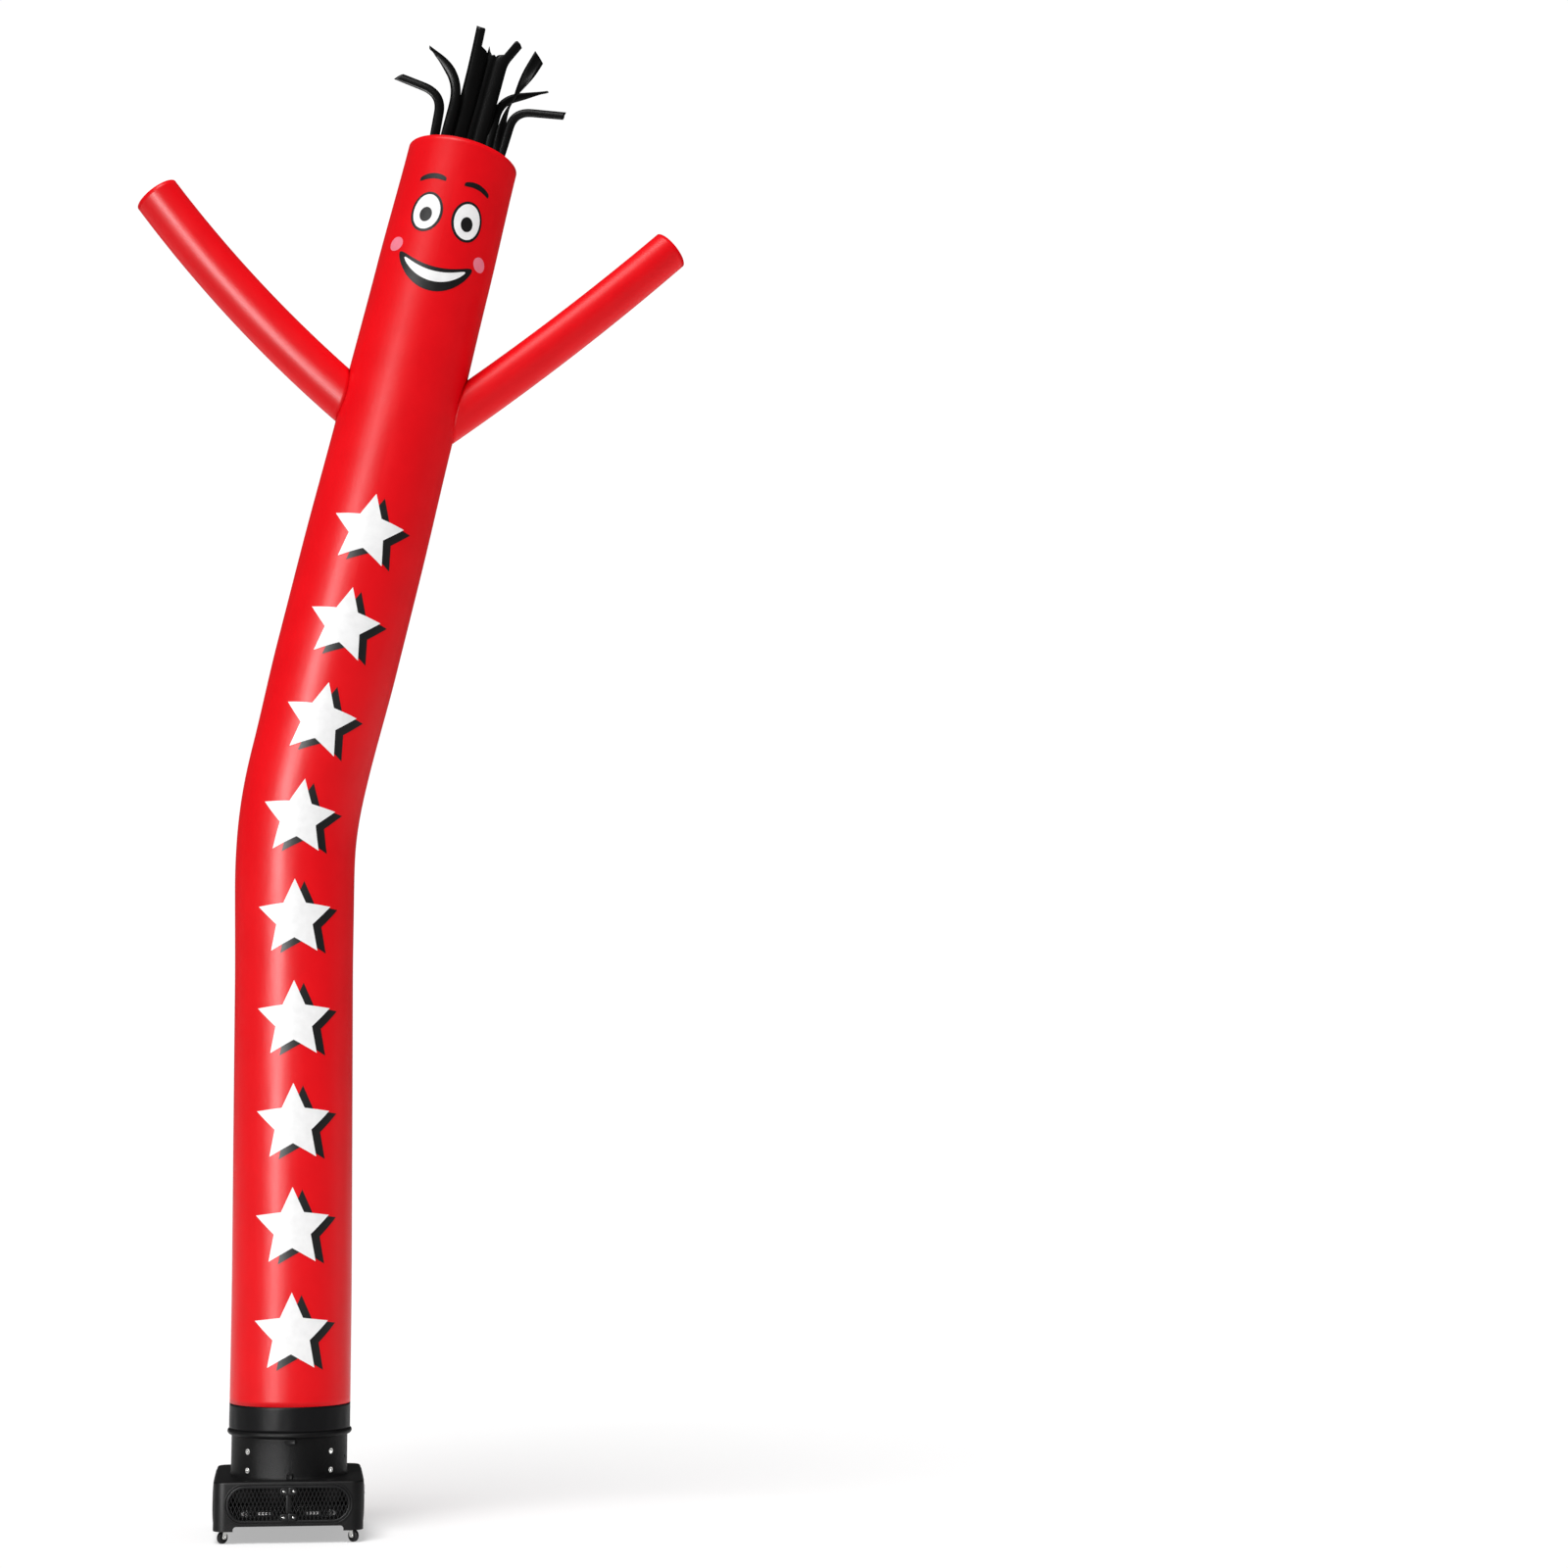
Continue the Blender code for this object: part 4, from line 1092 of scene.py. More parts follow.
def bar_ends(crossing, slant, half, rise, blocked):
    """The stretches of a slanted line through (crossing, 0) in the slot and clear of what is blocked."""
    stretches, start = [], None
    steps = 160
    for i in range(steps + 1):
        z = -rise + 2 * rise * i / steps
        x = crossing + slant * z
        free = in_slot(x, z, half, rise) and not blocked(x, z)
        if free and start is None:
            start = (x, z)
        if start is not None and (not free or i == steps):
            if math.hypot(x - start[0], z - start[1]) > 0.004:
                stretches.append((start, (x, z)))
            start = None
    return stretches


def grille(name, blocked):
    """The bars of one window, modelled for the front."""
    start = (0, BAR_Y, GRILLE_Z + GRILLE_RISE)
    bars = begin(name, bpy.ops.mesh.primitive_cube_add, size=0.001, location=start)
    half, rise = GRILLE_HALF - RIM_WIDE + 0.002, GRILLE_RISE - RIM_WIDE + 0.002
    slant = DIAMOND_WIDE / DIAMOND_HIGH
    with shaping(bars):
        for way, depth in ((-1, 0.0), (1, 0.0006)):
            for number in range(-18, 19):
                crossing = number * DIAMOND_WIDE
                for (x0, z0), (x1, z1) in bar_ends(crossing, way * slant, half, rise, blocked):
                    bpy.ops.mesh.primitive_cube_add(
                        size=1,
                        location=((x0 + x1) / 2, BAR_Y + depth, GRILLE_Z + (z0 + z1) / 2),
                        rotation=(0, math.atan2(x1 - x0, z1 - z0), 0),
                        scale=(BAR, BAR_DEEP, math.hypot(x1 - x0, z1 - z0)),
                    )
    return bars


def at_seam(x, z):
    return abs(x) < 0.008 or (abs(x) < 0.030 and abs(abs(z) - 0.047) < 0.012)


def at_panel(x, _):
    return abs(x - PANEL_Y) < PANEL_WIDE / 2 + 0.002


def nowhere(*_):
    return False


seam_bars = grille("bars", at_seam)
panel_bars = grille("bars", at_panel)
plain_bars = grille("bars", nowhere)

# %% [markdown]
# ## The windows
#
# Each window gets a rounded rim inside its slot and a soft raised band round it. Both are a slot's solid with
# a smaller one cut out. The seam's strip stands over the bars at the front and the back.


# %% The windows
def window_wall(name, outer, inner, deep, y):
    """The wall between two slots, each this much wider than the base's own slot."""
    wall = slot_solid(name, GRILLE_HALF + outer, GRILLE_RISE + outer, deep, y)
    carve(wall, slot_solid("inner", GRILLE_HALF + inner, GRILLE_RISE + inner, 0.05, -BASE_HALF))
    return wall


band = window_wall("band", BAND_WIDE, GAP, 0.004, -BASE_HALF)
soften(band, 0.0019, 4, 50)
smooth(band, 60)
rim = window_wall("rim", -GAP, -RIM_WIDE, 0.009, -BASE_HALF + 0.0015)
soften(rim, 0.0024, 3, 50)
strip_y = BAR_Y - BAR_DEEP / 2 + 0.0025
strip_size = (0.018, 0.006, 2 * (GRILLE_RISE - RIM_WIDE) + 0.004)
strip = block("strip", strip_size, (0, strip_y, GRILLE_Z), 0.001)
carve(strip, block("groove", (0.0012, 0.004, 0.2), (0, strip_y - 0.0035, GRILLE_Z)))
patterns = {
    "front": (seam_bars, rim, strip),
    "right": (panel_bars, rim),
    "back": (seam_bars, rim, strip),
    "left": (plain_bars, rim),
}
for side, turn in SIDES.items():
    place = face_turn(turn)
    dress(copied(band, "band_" + side, place), base_plastic, slot="black_plastic")
    window = join([copied(part, "part", place) for part in patterns[side]], "window_" + side)
    smooth(window)
    dress(window, guard_plastic, "grille_" + side)
drop(band, seam_bars, panel_bars, plain_bars, rim, strip)

# %% [markdown]
# ## Screws
#
# The same pan-head screw holds the collar, the seam and the switch's panel. It is modelled once, facing -Y:
# a short cylinder with a domed edge and a cross cut into it, on a washer where one is shown.


# %% Screws
def screw(name, radius, washer=0.0):
    high = radius * 0.7
    head = rod(name, radius, high, (0, -high / 2, 0), "Y", 28)
    soften(head, high * 0.55, 3)
    for size in ((radius * 1.1, high, radius * 0.24), (radius * 0.24, high, radius * 1.1)):
        carve(head, block("cross", size, (0, -high, 0)))
    if washer:
        disc = rod("washer", washer, 0.0016, (0, 0.0006, 0), "Y", 36)
        soften(disc, 0.0004, 1)
        moved(head, shifted(0, -0.0014, 0))
        head = join([head, disc], name)
    smooth(head, 40)
    return head


collar_screw = screw("collar_screw", 0.0052, 0.0105)
small_screw = screw("small_screw", 0.0040)


def put_screws(name, kind, places):
    """Copies of a screw at several places, as one piece."""
    dress(join([copied(kind, name, place) for place in places], name), zinc_steel)


# %% [markdown]
# ## The seam's lugs
#
# Two pairs of screwed ears hold the halves of the base together, over the windows' seams.

# %% The seam's lugs
lug = block("lug", (0.062, 0.004, 0.026), (0, 0, 0))
with shaping(lug):
    round_edges(lug, 0.0118, 8, lambda at, way: abs(way.y) > 0.9)
LUG_SCREWS = (-0.018, 0.018)
for x in LUG_SCREWS:
    carve(lug, rod("sink", 0.0062, 0.004, (x, -0.0030, 0), "Y", 28))
carve(lug, block("split", (0.0012, 0.003, 0.04), (0, -0.0025, 0)))
soften(lug, 0.0007, 2, 50)
smooth(lug)
lug_y = -BASE_HALF - GRILLE_PROUD - GAP - 0.002
seam_screws = []
for side in ("front", "back"):
    for level, z in (("upper", GRILLE_Z + 0.047), ("lower", GRILLE_Z - 0.047)):
        place = face_turn(SIDES[side]) @ shifted(0, lug_y, z)
        dress(copied(lug, f"ear_{side}_{level}", place), guard_plastic, f"lug_{side}_{level}")
        seam_screws += [place @ shifted(x, -0.0008, 0) for x in LUG_SCREWS]
drop(lug)
put_screws("seam_screws", small_screw, seam_screws)

# %% [markdown]
# ## The floor plate
#
# Under the base, a plate carries the castors and has a round guard in its middle. Rings and spokes keep
# fingers out, and the bright floor shows through them in the window.


# %% The floor plate
RING_PITCH = 0.0125
plate_half = BASE_HALF - BASE_WALL - GAP
floor_middle = (0, 0, FLOOR_LOW + FLOOR_THICK / 2)
plate = block("floor_guard", (2 * plate_half, 2 * plate_half, FLOOR_THICK), floor_middle)
with shaping(plate):
    round_edges(plate, BASE_CORNER - BASE_WALL, 8, lambda at, way: abs(way.z) > 0.9)
carve(plate, rod("opening", 0.186, 0.05, (0, 0, FLOOR_LOW), sides=96))
ring_low, ring_high = FLOOR_LOW + 0.0005, FLOOR_LOW + FLOOR_THICK - 0.0005
rings = [ring("ring", r, r + 0.003, ring_low, ring_high) for r in np.arange(0.068, 0.180, RING_PITCH)]
spokes = rod("spokes", 0.060, FLOOR_THICK, floor_middle, sides=64)
with shaping(spokes):
    for i in range(36):
        inner = 0.118 if i % 3 else 0.058
        spoke(math.radians(i * 10), inner, 0.187, FLOOR_LOW + FLOOR_THICK / 2, (0.003, 0.0032))
plate = join([plate, *rings, spokes], "floor_guard")
settle(plate, ON_AXIS, guard_plastic, "floor_plate", slot="black_plastic")
print("floor plate", len(plate.data.polygons), "faces")

# %% [markdown]
# ## The inlet ring
#
# Under the deck a short dark ring leads the air into the collar. It is turned like the guard's rings. It
# hides the far window from most sides, so that the windows look nearly black.

# %% The inlet ring
inlet = ring("inlet_ring", 0.2065, 0.2115, 0.130, BASE_TOP - BASE_WALL - GAP, 120)
soften(inlet, 0.0015, 2, 50)
settle(inlet, ON_AXIS, base_plastic, slot="black_plastic")
print("inlet ring", len(inlet.data.polygons), "faces")

# %% [markdown]
# ## The collar
#
# The collar is turned: a drum with a half-round ridge and a flange at its rim. Its outline is drawn point by
# point and spun. A fine groove down the front shows where its halves meet. The hook tape sits between ridge
# and flange, under the cuff.

# %% The collar
rim_low = RIM_Z - RIM_HIGH
outline = [(RIM_R - 0.0035, RIM_Z), (RIM_R - 0.001, RIM_Z - 0.001), (RIM_R, RIM_Z - 0.0035)]
outline += [(RIM_R, rim_low + 0.003), (RIM_R - 0.002, rim_low), (COLLAR_R, rim_low - 0.003)]
for degrees in range(90, -91, -15):
    angle = math.radians(degrees)
    out = COLLAR_R + (RIDGE_R - COLLAR_R) * math.cos(angle)
    outline.append((out, RIDGE_Z + RIDGE_HALF * math.sin(angle)))
outline += [(COLLAR_R, BASE_TOP + 0.012), (COLLAR_R + 0.003, BASE_TOP + 0.004)]
outline += [(COLLAR_R + 0.006, BASE_TOP + GAP), (COLLAR_R - 0.004, BASE_TOP + GAP), (COLLAR_R - 0.004, RIM_Z)]
collar = spun("collar_drum", outline, 144)
groove_high = RIDGE_Z - RIDGE_HALF - BASE_TOP
groove_middle = (0, -COLLAR_R, BASE_TOP + groove_high / 2)
carve(collar, block("groove", (0.0016, 0.0016, groove_high), groove_middle))
carve(collar, moved(rod("hole", 0.0055, 0.006, (0, -COLLAR_R, 0.292), "Y", 24), turned(72)))
settle(collar, ON_AXIS, collar_plastic, "collar")

# %% [markdown]
# ## The tape and the collar's screws
#
# The hook tape is turned too. Two screws stand one above the other at each corner of the base.

# %% The tape and the collar's screws
tape_low, tape_high = RIDGE_Z + RIDGE_HALF + 0.004, rim_low - 0.005
tape_out, tape_in = COLLAR_R + GAP + 0.0015, COLLAR_R + GAP
tape_outline = [(tape_in, tape_high), (tape_out - 0.0004, tape_high), (tape_out, tape_high - 0.0006)]
tape_outline += [(tape_out, tape_low + 0.0006), (tape_out - 0.0004, tape_low), (tape_in, tape_low)]
settle(spun("tape_band", tape_outline, 144), ON_AXIS, hook_tape, "collar_tape")

collar_places = []
for turn in (45, 135, 225, 315):
    for z in (BASE_TOP + 0.027, BASE_TOP + 0.096):
        collar_places.append(ON_AXIS @ turned(turn) @ shifted(0, -COLLAR_R - 0.0004, z))
put_screws("collar_screws", collar_screw, collar_places)

# %% [markdown]
# ## The catches on the collar's seam
#
# Two square catches clip the halves of the collar together at the front: a wide one under the ridge and a
# narrow one at the foot.

# %% The catches
for name, node, z, size in (
    ("catch_upper", "tab_upper", RIDGE_Z - 0.021, (0.040, 0.014, 0.016)),
    ("catch_lower", "tab_lower", BASE_TOP + 0.012, (0.022, 0.012, 0.020)),
):
    y = -COLLAR_R - GAP - size[1] / 2
    catch = block(name, size, (0, y, z))
    with shaping(catch):
        choose(catch, "faces", lambda at, way: way.y < -0.9)
        bpy.ops.mesh.inset(thickness=0.002)
        push(0.001)
    soften(catch, 0.0009, 2, 50)
    carve(catch, block("split", (0.0012, 0.004, 0.03), (0, y - size[1] / 2, z)))
    settle(catch, ON_AXIS, guard_plastic, node)

# %% [markdown]
# ## The outlet's guard
#
# A guard of thin rings and spokes closes the outlet round a hub with a well in it. A flat flange screws it to
# the collar's rim. The cuff covers it, but it shows when one looks down into the open head.

# %% The outlet's guard
guard_r, guard_low = RIM_R - 0.004, RIM_Z + GAP
flange = ring("outlet_guard", guard_r - 0.034, guard_r, guard_low, guard_low + 0.006, 144)
soften(flange, 0.0012, 2, 50)
parts = [flange, ring("hub", HUB_HOLE, HUB_R, guard_low, guard_low + 0.006, 72)]
for r in np.arange(0.0735, 0.188, RING_PITCH):
    parts.append(ring("ring", r, r + 0.0028, guard_low + 0.0008, guard_low + 0.0052))
bars = block("bars", (0.002, 0.002, 0.002), (HUB_R - 0.002, 0, guard_low + 0.003))
with shaping(bars):
    for i in range(32):
        inner = (HUB_R - 0.003, 0.130, 0.100, 0.130)[i % 4]
        angle = math.radians(i * 11.25 + 5.6)
        spoke(angle, inner, guard_r - 0.033, guard_low + 0.003, (0.003, 0.0042))
guard = join([*parts, bars], "outlet_guard")
settle(guard, ON_AXIS, guard_plastic, "top_guard")
screw_seat = shifted(0, -guard_r + 0.008, guard_low + 0.0061) @ turned(-90, "X")
rim_places = [ON_AXIS @ turned(45 * i + 10) @ screw_seat for i in range(8)]
put_screws("rim_screws", small_screw, rim_places)
print("guard", len(guard.data.polygons), "faces")

# %% [markdown]
# ## The switch
#
# A shallow tray is let into the right side. It holds a red rocker under a clear cover, in a black frame.

# %% The switch's tray
right = face_turn(SIDES["right"])
tray_y = -BASE_HALF + 0.004
tray = block("switch_tray", (PANEL_WIDE, 0.003, PANEL_HIGH), (PANEL_Y, tray_y, GRILLE_Z))


def at_rim(at, way):
    """Whether a face is in the strip round the tray's front."""
    inside = min(PANEL_WIDE / 2 - abs(at.x - PANEL_Y), PANEL_HIGH / 2 - abs(at.z - GRILLE_Z))
    return way.y < -0.9 and inside < 0.003


with shaping(tray):
    round_edges(tray, 0.012, 6, lambda at, way: abs(way.y) > 0.9)
    choose(tray, "faces", lambda at, way: way.y < -0.9)
    bpy.ops.mesh.inset(thickness=0.004)
    choose(tray, "faces", at_rim)
    push(-0.0060)
soften(tray, 0.0008, 2, 50)
carve(tray, block("window", (0.030, 0.02, 0.036), (PANEL_Y, tray_y, GRILLE_Z)))
settle(tray, right, base_plastic, "switch_panel", slot="black_plastic")
tray_places = []
for screw_x, proud in ((-0.0635, 0.0078), (0.0635, 0.0078), (0.044, 0.0016)):
    for z in (GRILLE_Z + 0.046, GRILLE_Z - 0.046):
        tray_places.append(right @ shifted(PANEL_Y + screw_x, tray_y - proud, z))
put_screws("tray_screws", small_screw, tray_places)

# %% [markdown]
# ## The rocker, its frame and its cover
#
# The rocker's two halves stand out by different amounts, as it does when it is switched off. It is the only
# piece here that moves, so it rides on the rocker's body.

# %% The rocker, its frame and its cover
FRAME_WIDE, FRAME_HIGH = 0.0294, 0.0354
front = -BASE_HALF - 0.002
frame_at = (PANEL_Y, front + 0.006, GRILLE_Z)
frame_box = block("rocker_frame", (FRAME_WIDE, 0.012, FRAME_HIGH), frame_at, 0.0006)
carve(frame_box, block("window", (0.019, 0.03, 0.027), frame_at))
settle(frame_box, right, guard_plastic, "switch_frame")

rocker = block("rocker_button", (0.018, 0.010, 0.024), (PANEL_Y, front + 0.0045, GRILLE_Z))
with shaping(rocker):
    for half, proud in ((1, 0.0038), (-1, 0.0018)):

        def front_edge(at, way):
            return abs(way.x) > 0.9 and at.y < front + 0.001 and (at.z - GRILLE_Z) * half > 0

        choose(rocker, "edges", front_edge)
        slide(y=-proud)
    choose(rocker, "faces", lambda at, way: way.y < -0.8)
    bpy.ops.mesh.inset(thickness=0.0022)
    slide(y=0.0007)
soften(rocker, 0.0007, 3, 30)
settle(rocker, right, switch_red, "switch_rocker", body="rocker")

cover_y = front - GAP - 0.0065
cover = block("clear_lid", (FRAME_WIDE, 0.013, FRAME_HIGH), (PANEL_Y, cover_y, GRILLE_Z), 0.002, 3)
hollow_size = (FRAME_WIDE - 0.002, 0.013, FRAME_HIGH - 0.002)
carve(cover, block("hollow", hollow_size, (PANEL_Y, cover_y + 0.001, GRILLE_Z), 0.001))
settle(cover, right, clear_cover, "switch_cover")

# %% [markdown]
# ## The lead to the motor
#
# A short lead leaves the collar through a gland, loops over and goes down into the base.

# %% The lead
lead_turn = ON_AXIS @ turned(128)
face = COLLAR_R + GAP
gland = block("gland_body", (0.022, 0.018, 0.030), (0, -face - 0.009, BASE_TOP + 0.060), 0.004, 3)
settle(gland, lead_turn, guard_plastic, "lead_gland")
lead_top = BASE_TOP + 0.075 + GAP
line = [(0.009, 0.0), (0.009, 0.022), (0.014, 0.040), (0.027, 0.052), (0.043, 0.047), (0.051, 0.028)]
line += [(0.053, -0.005), (0.053, -0.035), (0.053, BASE_TOP + GAP + 0.014 + GAP - lead_top)]
curve = bpy.data.curves.new("motor_lead", "CURVE")
curve.dimensions = "3D"
curve.bevel_depth = 0.004
curve.bevel_resolution = 5
curve.resolution_u = 6
curve.use_fill_caps = True
spline = curve.splines.new("NURBS")
spline.points.add(len(line) - 1)
for point, (out, up) in zip(spline.points, line):
    point.co = (0, -face - out, lead_top + up, 1)
spline.use_endpoint_u = True
spline.order_u = 3
lead_guide = bpy.data.objects.new("motor_lead", curve)
bpy.context.scene.collection.objects.link(lead_guide)
only(lead_guide)
bpy.ops.object.convert(target="MESH")
lead = bpy.context.object
lead.name = lead.data.name = "motor_lead"
with shaping(lead):
    bpy.ops.mesh.select_all(action="SELECT")
    bpy.ops.mesh.remove_doubles(threshold=0.00001)
    bpy.ops.mesh.normals_make_consistent(inside=False)
settle(lead, lead_turn, lead_black, "lead", angle=60)
outline = [(0.0, 0.014), (0.006, 0.014), (0.0095, 0.010), (0.010, 0.0), (0.0, 0.0)]
grommet = spun("lead_grommet", outline, 28, False)
settle(grommet, lead_turn @ shifted(0, -face - 0.053, BASE_TOP + GAP), guard_plastic, "lead_socket")

# %% [markdown]
# ## The motor
#
# The motor hangs under the guard's hub. Only its well shows from above and its drum through the windows.

# %% The motor
top, bottom = RIM_Z, RIM_Z - 0.19
outline = [(0.0, top - 0.07), (HUB_HOLE, top - 0.07), (HUB_HOLE, top), (0.058, top), (0.060, top - 0.002)]
for i in range(9):
    z = top - 0.03 - i * 0.015
    outline += [(0.060, z), (0.0575, z - 0.002), (0.0575, z - 0.006), (0.060, z - 0.008)]
outline += [(0.060, bottom + 0.01), (0.057, bottom + 0.003), (0.050, bottom), (0.0, bottom)]
settle(spun("fan_motor", outline, 64, False), ON_AXIS, motor_iron, "motor")

# %% [markdown]
# ## The castors
#
# Each castor has a zinc fork that swivels under the plate, a rubber wheel on an axle, and, at the front, a
# brake lever. One of each is modelled at the origin and copied to the four corners.


# %% The castor's shapes
CROWN_LOW, CROWN_HIGH = AXLE_Z + WHEEL_R + 0.003, FLOOR_LOW - GAP
ARM_Y = CASTOR_TRAIL * 0.55


def fork_shape():
    """A crown with a groove like a bearing's, and a cheek on each side of the wheel."""
    high = CROWN_HIGH
    race = [(0.0, high), (0.0165, high), (0.017, high - 0.003), (0.0135, high - 0.006)]
    race += [(0.0135, high - 0.009), (0.0168, high - 0.012), (0.017, CROWN_LOW + 0.002)]
    fork = spun("fork", [*race, (0.0155, CROWN_LOW), (0.0, CROWN_LOW)], 40, False)
    reach = CROWN_LOW + 0.004 - (AXLE_Z - 0.006)
    for side in (-1, 1):
        at = (side * (WHEEL_WIDE / 2 + 0.002), ARM_Y, AXLE_Z - 0.006 + reach / 2)
        cheek = block("cheek", (0.002, 0.020, reach), at)
        with shaping(cheek):
            round_edges(cheek, 0.006, 5, lambda at, way: abs(way.x) > 0.9 and at.z < AXLE_Z)
            choose(cheek, "verts", lambda at, _: at.z < AXLE_Z + 0.002)
            slide(y=0.004)
        soften(cheek, 0.0004, 1, 50)
        fork = join([fork, cheek], "fork")
    smooth(fork)
    return fork


def wheel_shape():
    """A turned tyre with a sunk hub, laid on its axle."""
    half, soft = WHEEL_WIDE / 2, 0.0035
    outline = [(0.0033, half - 0.001), (0.010, half - 0.001), (0.011, half - 0.002), (0.0125, half - 0.002)]
    outline += [(0.0135, half), (WHEEL_R - soft, half)]
    outline += [(WHEEL_R - 0.001, half - 0.0012), (WHEEL_R - 0.0002, half - soft)]
    outline += [(r, -z) for r, z in reversed(outline)]
    wheel = spun("wheel", outline, 56)
    smooth(wheel, 40)
    return moved(wheel, shifted(0, CASTOR_TRAIL, AXLE_Z) @ turned(90, "Y"))


def axle_shape():
    """A pin with a six-sided nut at each end."""
    reach = WHEEL_WIDE / 2 + 0.003 + 0.0015
    parts = [rod("axle", 0.0030, 2 * reach - 0.002, (0, CASTOR_TRAIL, AXLE_Z), "X", 24)]
    for side in (-1, 1):
        nut = rod("nut", 0.0048, 0.0022, (side * (reach - 0.0003), CASTOR_TRAIL, AXLE_Z), "X", 6)
        soften(nut, 0.0004, 1)
        parts.append(nut)
    axle = join(parts, "axle")
    smooth(axle)
    return axle


def brake_shape(side):
    """The lever: a strip with a notch between two fingers, and a curl up at its end."""
    start, long = WHEEL_WIDE / 2 + 0.003 + 0.0006, 0.026
    z = CROWN_LOW - 0.006
    lever = block("lever", (long, 0.014, 0.0018), (side * (start + long / 2), ARM_Y, z))
    with shaping(lever):
        bpy.ops.mesh.select_all(action="SELECT")
        bpy.ops.mesh.subdivide(number_cuts=3)
        for far, rise in ((0.012, -0.0006), (0.020, 0.0004)):
            choose(lever, "verts", lambda at, _: abs(at.x) > start + far)
            slide(z=rise)
    carve(lever, rod("notch", 0.0030, 0.02, (side * (start + long), ARM_Y, z), "Z", 24))
    soften(lever, 0.0005, 2, 40)
    smooth(lever)
    return lever


shapes = {"fork": fork_shape(), "axle": axle_shape(), "wheel": wheel_shape()}
levers = {-1: brake_shape(-1), 1: brake_shape(1)}

# %% [markdown]
# ## The four castors
#
# The castors stand turned outwards, with the front two's levers towards the sides. Forks, axles and levers
# swivel, and each wheel rides on its own body.

# %% The four castors
for name, x, y, turn, brake in (
    ("front_left", -1, -1, 135, 1),
    ("front_right", 1, -1, -135, -1),
    ("back_left", -1, 1, 45, 0),
    ("back_right", 1, 1, -45, 0),
):
    stand = ON_AXIS @ shifted(x * CASTOR_AT, y * CASTOR_AT, 0) @ turned(turn)
    for kind, shape in shapes.items():
        body, material = ("wheel_", tyre_black) if kind == "wheel" else ("swivel_", zinc_steel)
        piece = copied(shape, f"{name}_{kind}", stand)
        dress(piece, material, f"castor_{name}_{kind}", body=body + name)
    if brake:
        piece = copied(levers[brake], f"{name}_lever", stand)
        dress(piece, zinc_steel, f"brake_{name}", body=f"lever_{name}")
drop(*shapes.values(), *levers.values(), collar_screw, small_screw)

# %% [markdown]
# ## The prints
#
# The front of the tube carries a column of white stars, each with a dark shadow to its right, and the head
# a plain cheerful face. Each print is drawn flat as a primitive, with its width and height in metres of
# cloth, then laid round the tube: a point's height becomes its distance along the tube, and its distance
# from the middle an angle round it. A hair's breadth of thickness keeps its edge crisp.


# %% Inks
def ink(name, colour):
    """Printed cloth: the ink fills the weave, and its tone varies a little."""
    material, wire, shader = new_finish(name, colour, 0.42, Specular_IOR_Level=0.25)
    place = wire.on_piece()
    cloud = place.noise(30.0, 3.0)
    base = linear(colour)
    feed(shader, "Base Color", cloud.smooth(0.2, 0.8).mix([c * 0.93 for c in base], base))
    feed(shader, "Normal", place.noise(900.0, 1.0).bump(0.0002))
    feed(shader, "Roughness", cloud * 0.1 + 0.37)
    return material


white_ink = ink("white_ink", (0.985, 0.985, 0.985))
black_ink = ink("black_ink", (0.05, 0.05, 0.055))
pink_ink = ink("pink_ink", (0.96, 0.52, 0.60))


# %% [markdown]
# ## Drawing and laying a print
#
# A print is drawn flat first. An oval comes from a grid whose rows are squeezed at its ends, and a star from
# a ten-sided fan with every other corner drawn in.


# %% Drawing and laying a print
def lay(piece, distance, lift):
    """Lays a flat print, drawn round the origin, on the front of the tube at a distance from the cuff."""
    for vertex in piece.data.vertices:
        along = distance + vertex.co.y
        angle = vertex.co.x / radius_at(along)
        vertex.co = on_tube(angle, along, lift + vertex.co.z)
    piece.data.update()
    thicken(piece, 0.0003, 1.0)
    smooth(piece, 40)
    return piece


def oval(name, wide, high, at=(0, 0), bend=0.0, tilt=0.0, ends=0.5):
    """A flat oval from a grid. Bent, it is a smile; with low ends, it is a bar."""
    piece = begin(name, bpy.ops.mesh.primitive_grid_add, x_subdivisions=28, y_subdivisions=6, size=2)
    turn = Matrix.Rotation(math.radians(tilt), 3, "Z")
    for vertex in piece.data.vertices:
        across = math.sin(vertex.co.x * math.pi / 2)
        rise = max(0.0, 1 - across * across) ** ends
        x = across * wide / 2
        flat = turn @ Vector((x, vertex.co.y * rise * high / 2 + bend * x * x, 0))
        vertex.co = flat + Vector((*at, 0))
    with shaping(piece):
        bpy.ops.mesh.select_all(action="SELECT")
        bpy.ops.mesh.remove_doubles(threshold=0.0002)
    return piece


def star(name, radius, at=(0, 0)):
    """A five-pointed star: every other corner of a ten-sided fan is drawn in, and its edges are divided."""
    circle = bpy.ops.mesh.primitive_circle_add
    piece = begin(name, circle, vertices=10, radius=radius, fill_type="TRIFAN", location=(*at, 0))
    centre = Vector((*at, 0))
    turns = [Matrix.Rotation(math.radians(36 * i), 3, "Z") for i in range(1, 10, 2)]
    corners = [centre + turn @ Vector((0, radius, 0)) for turn in turns]
    with shaping(piece):
        near = radius * 0.01
        choose(piece, "verts", lambda at, _: min((at - corner).length for corner in corners) < near)
        bpy.ops.transform.resize(value=(0.48, 0.48, 1), center_override=centre)
        bpy.ops.mesh.select_all(action="SELECT")
        bpy.ops.mesh.subdivide(number_cuts=8)
    return piece


def lay_all(pieces, name, lift, material):
    """Lays several prints, each with its distance from the cuff, and joins them."""
    laid = [lay(piece, distance, lift) for piece, distance in pieces]
    print(name, len(laid))
    return dress(join(laid, name), material)


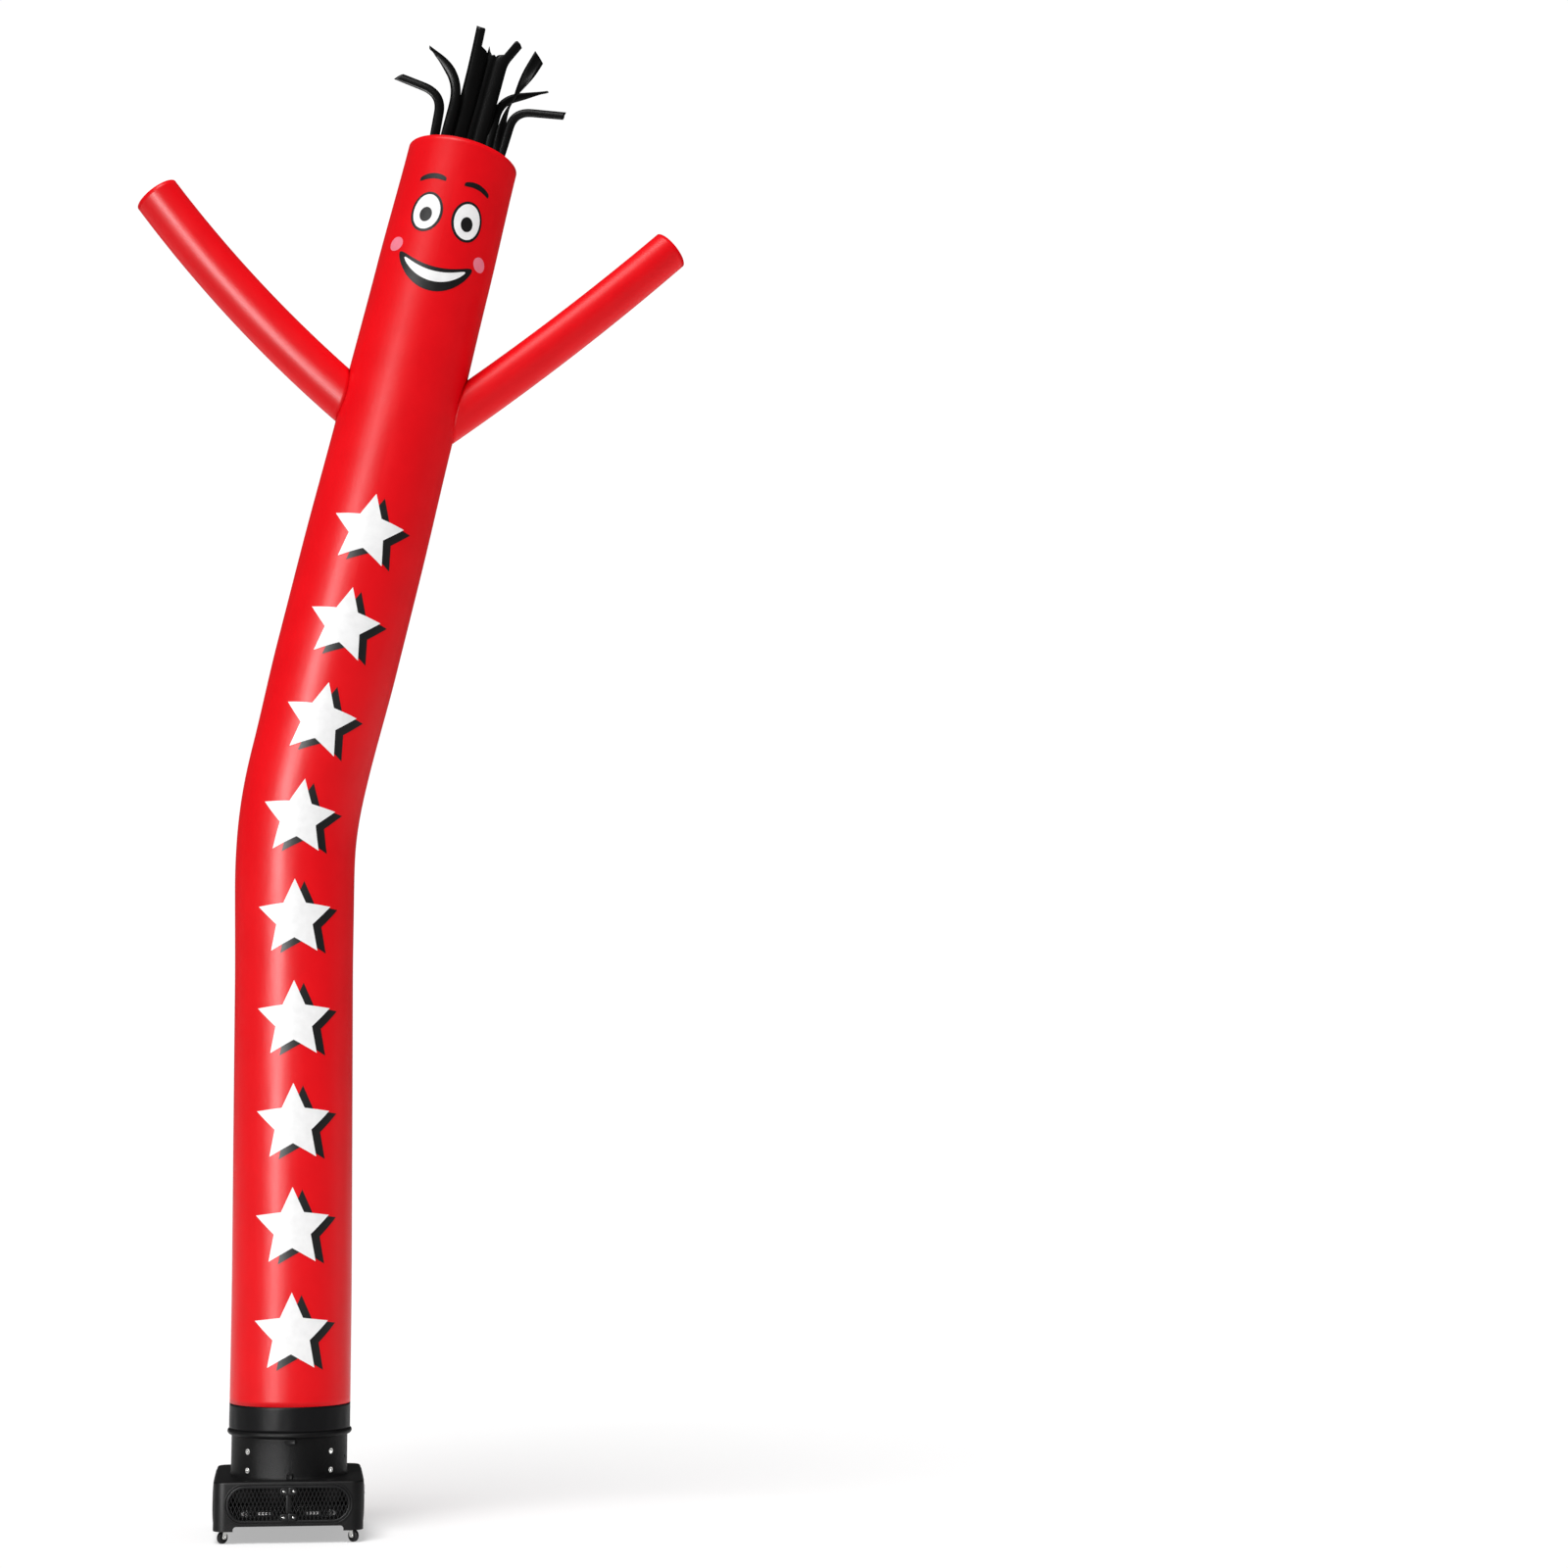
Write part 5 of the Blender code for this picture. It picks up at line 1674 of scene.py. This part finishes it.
# %% [markdown]
# ## The column of stars
#
# Nine stars stand one above the other, as high as the signs that such a dancer usually carries. Each has a
# dark copy behind it, a little to the right and lower, so that it stands off the cloth.

# %% The column of stars
STAR_R, STAR_PITCH, FIRST_STAR = 0.155, 0.395, 0.27
SHADOW = (0.037, -0.010)
SHADOW_LIFT, WHITE_LIFT, TOP_LIFT = 0.0004, 0.0009, 0.0014
star_places = [FIRST_STAR + number * STAR_PITCH for number in range(9)]
shadows = [(star("star", STAR_R, SHADOW), distance) for distance in star_places]
stars = [(star("star", STAR_R), distance) for distance in star_places]
prints = [
    lay_all(shadows, "star_shadows", SHADOW_LIFT, black_ink),
    lay_all(stars, "white_stars", WHITE_LIFT, white_ink),
]

# %% [markdown]
# ## The face
#
# The face is a plain cheerful one: upright eyes with round pupils near their middle, two arched brows, a
# wide smile with a row of teeth, and a pink spot on each cheek.

# %% The face
EYE_AT, EYE_SIDE = 4.800, 0.088
BROW_AT, BROW_SIDE = 4.960, 0.098
CHEEK_AT, CHEEK_SIDE = 4.655, 0.196
MOUTH_AT, SMILE = 4.520, 3.4
brow = dict(wide=0.116, high=0.024, bend=-4.0, ends=0.16)
dark, white, pupils, cheeks = [], [], [], []
for side in (-1, 1):
    dark.append((oval("rim", 0.136, 0.176, (side * EYE_SIDE, 0)), EYE_AT))
    dark.append((oval("brow", at=(side * BROW_SIDE, 0), tilt=side * -5, **brow), BROW_AT))
    white.append((oval("eye", 0.114, 0.154, (side * EYE_SIDE, 0)), EYE_AT))
    pupils.append((oval("pupil", 0.052, 0.064, (side * EYE_SIDE, -0.012)), EYE_AT))
    cheeks.append((oval("cheek", 0.070, 0.062, (side * CHEEK_SIDE, 0)), CHEEK_AT))
dark.append((oval("mouth", 0.330, 0.104, bend=SMILE), MOUTH_AT))
white.append((oval("teeth", 0.268, 0.044, (0, 0.012), bend=SMILE), MOUTH_AT))
prints += [
    lay_all(dark, "face_lines", SHADOW_LIFT, black_ink),
    lay_all(white, "face_whites", WHITE_LIFT, white_ink),
    lay_all(pupils, "face_pupils", TOP_LIFT, black_ink),
    lay_all(cheeks, "face_cheeks", SHADOW_LIFT, pink_ink),
]
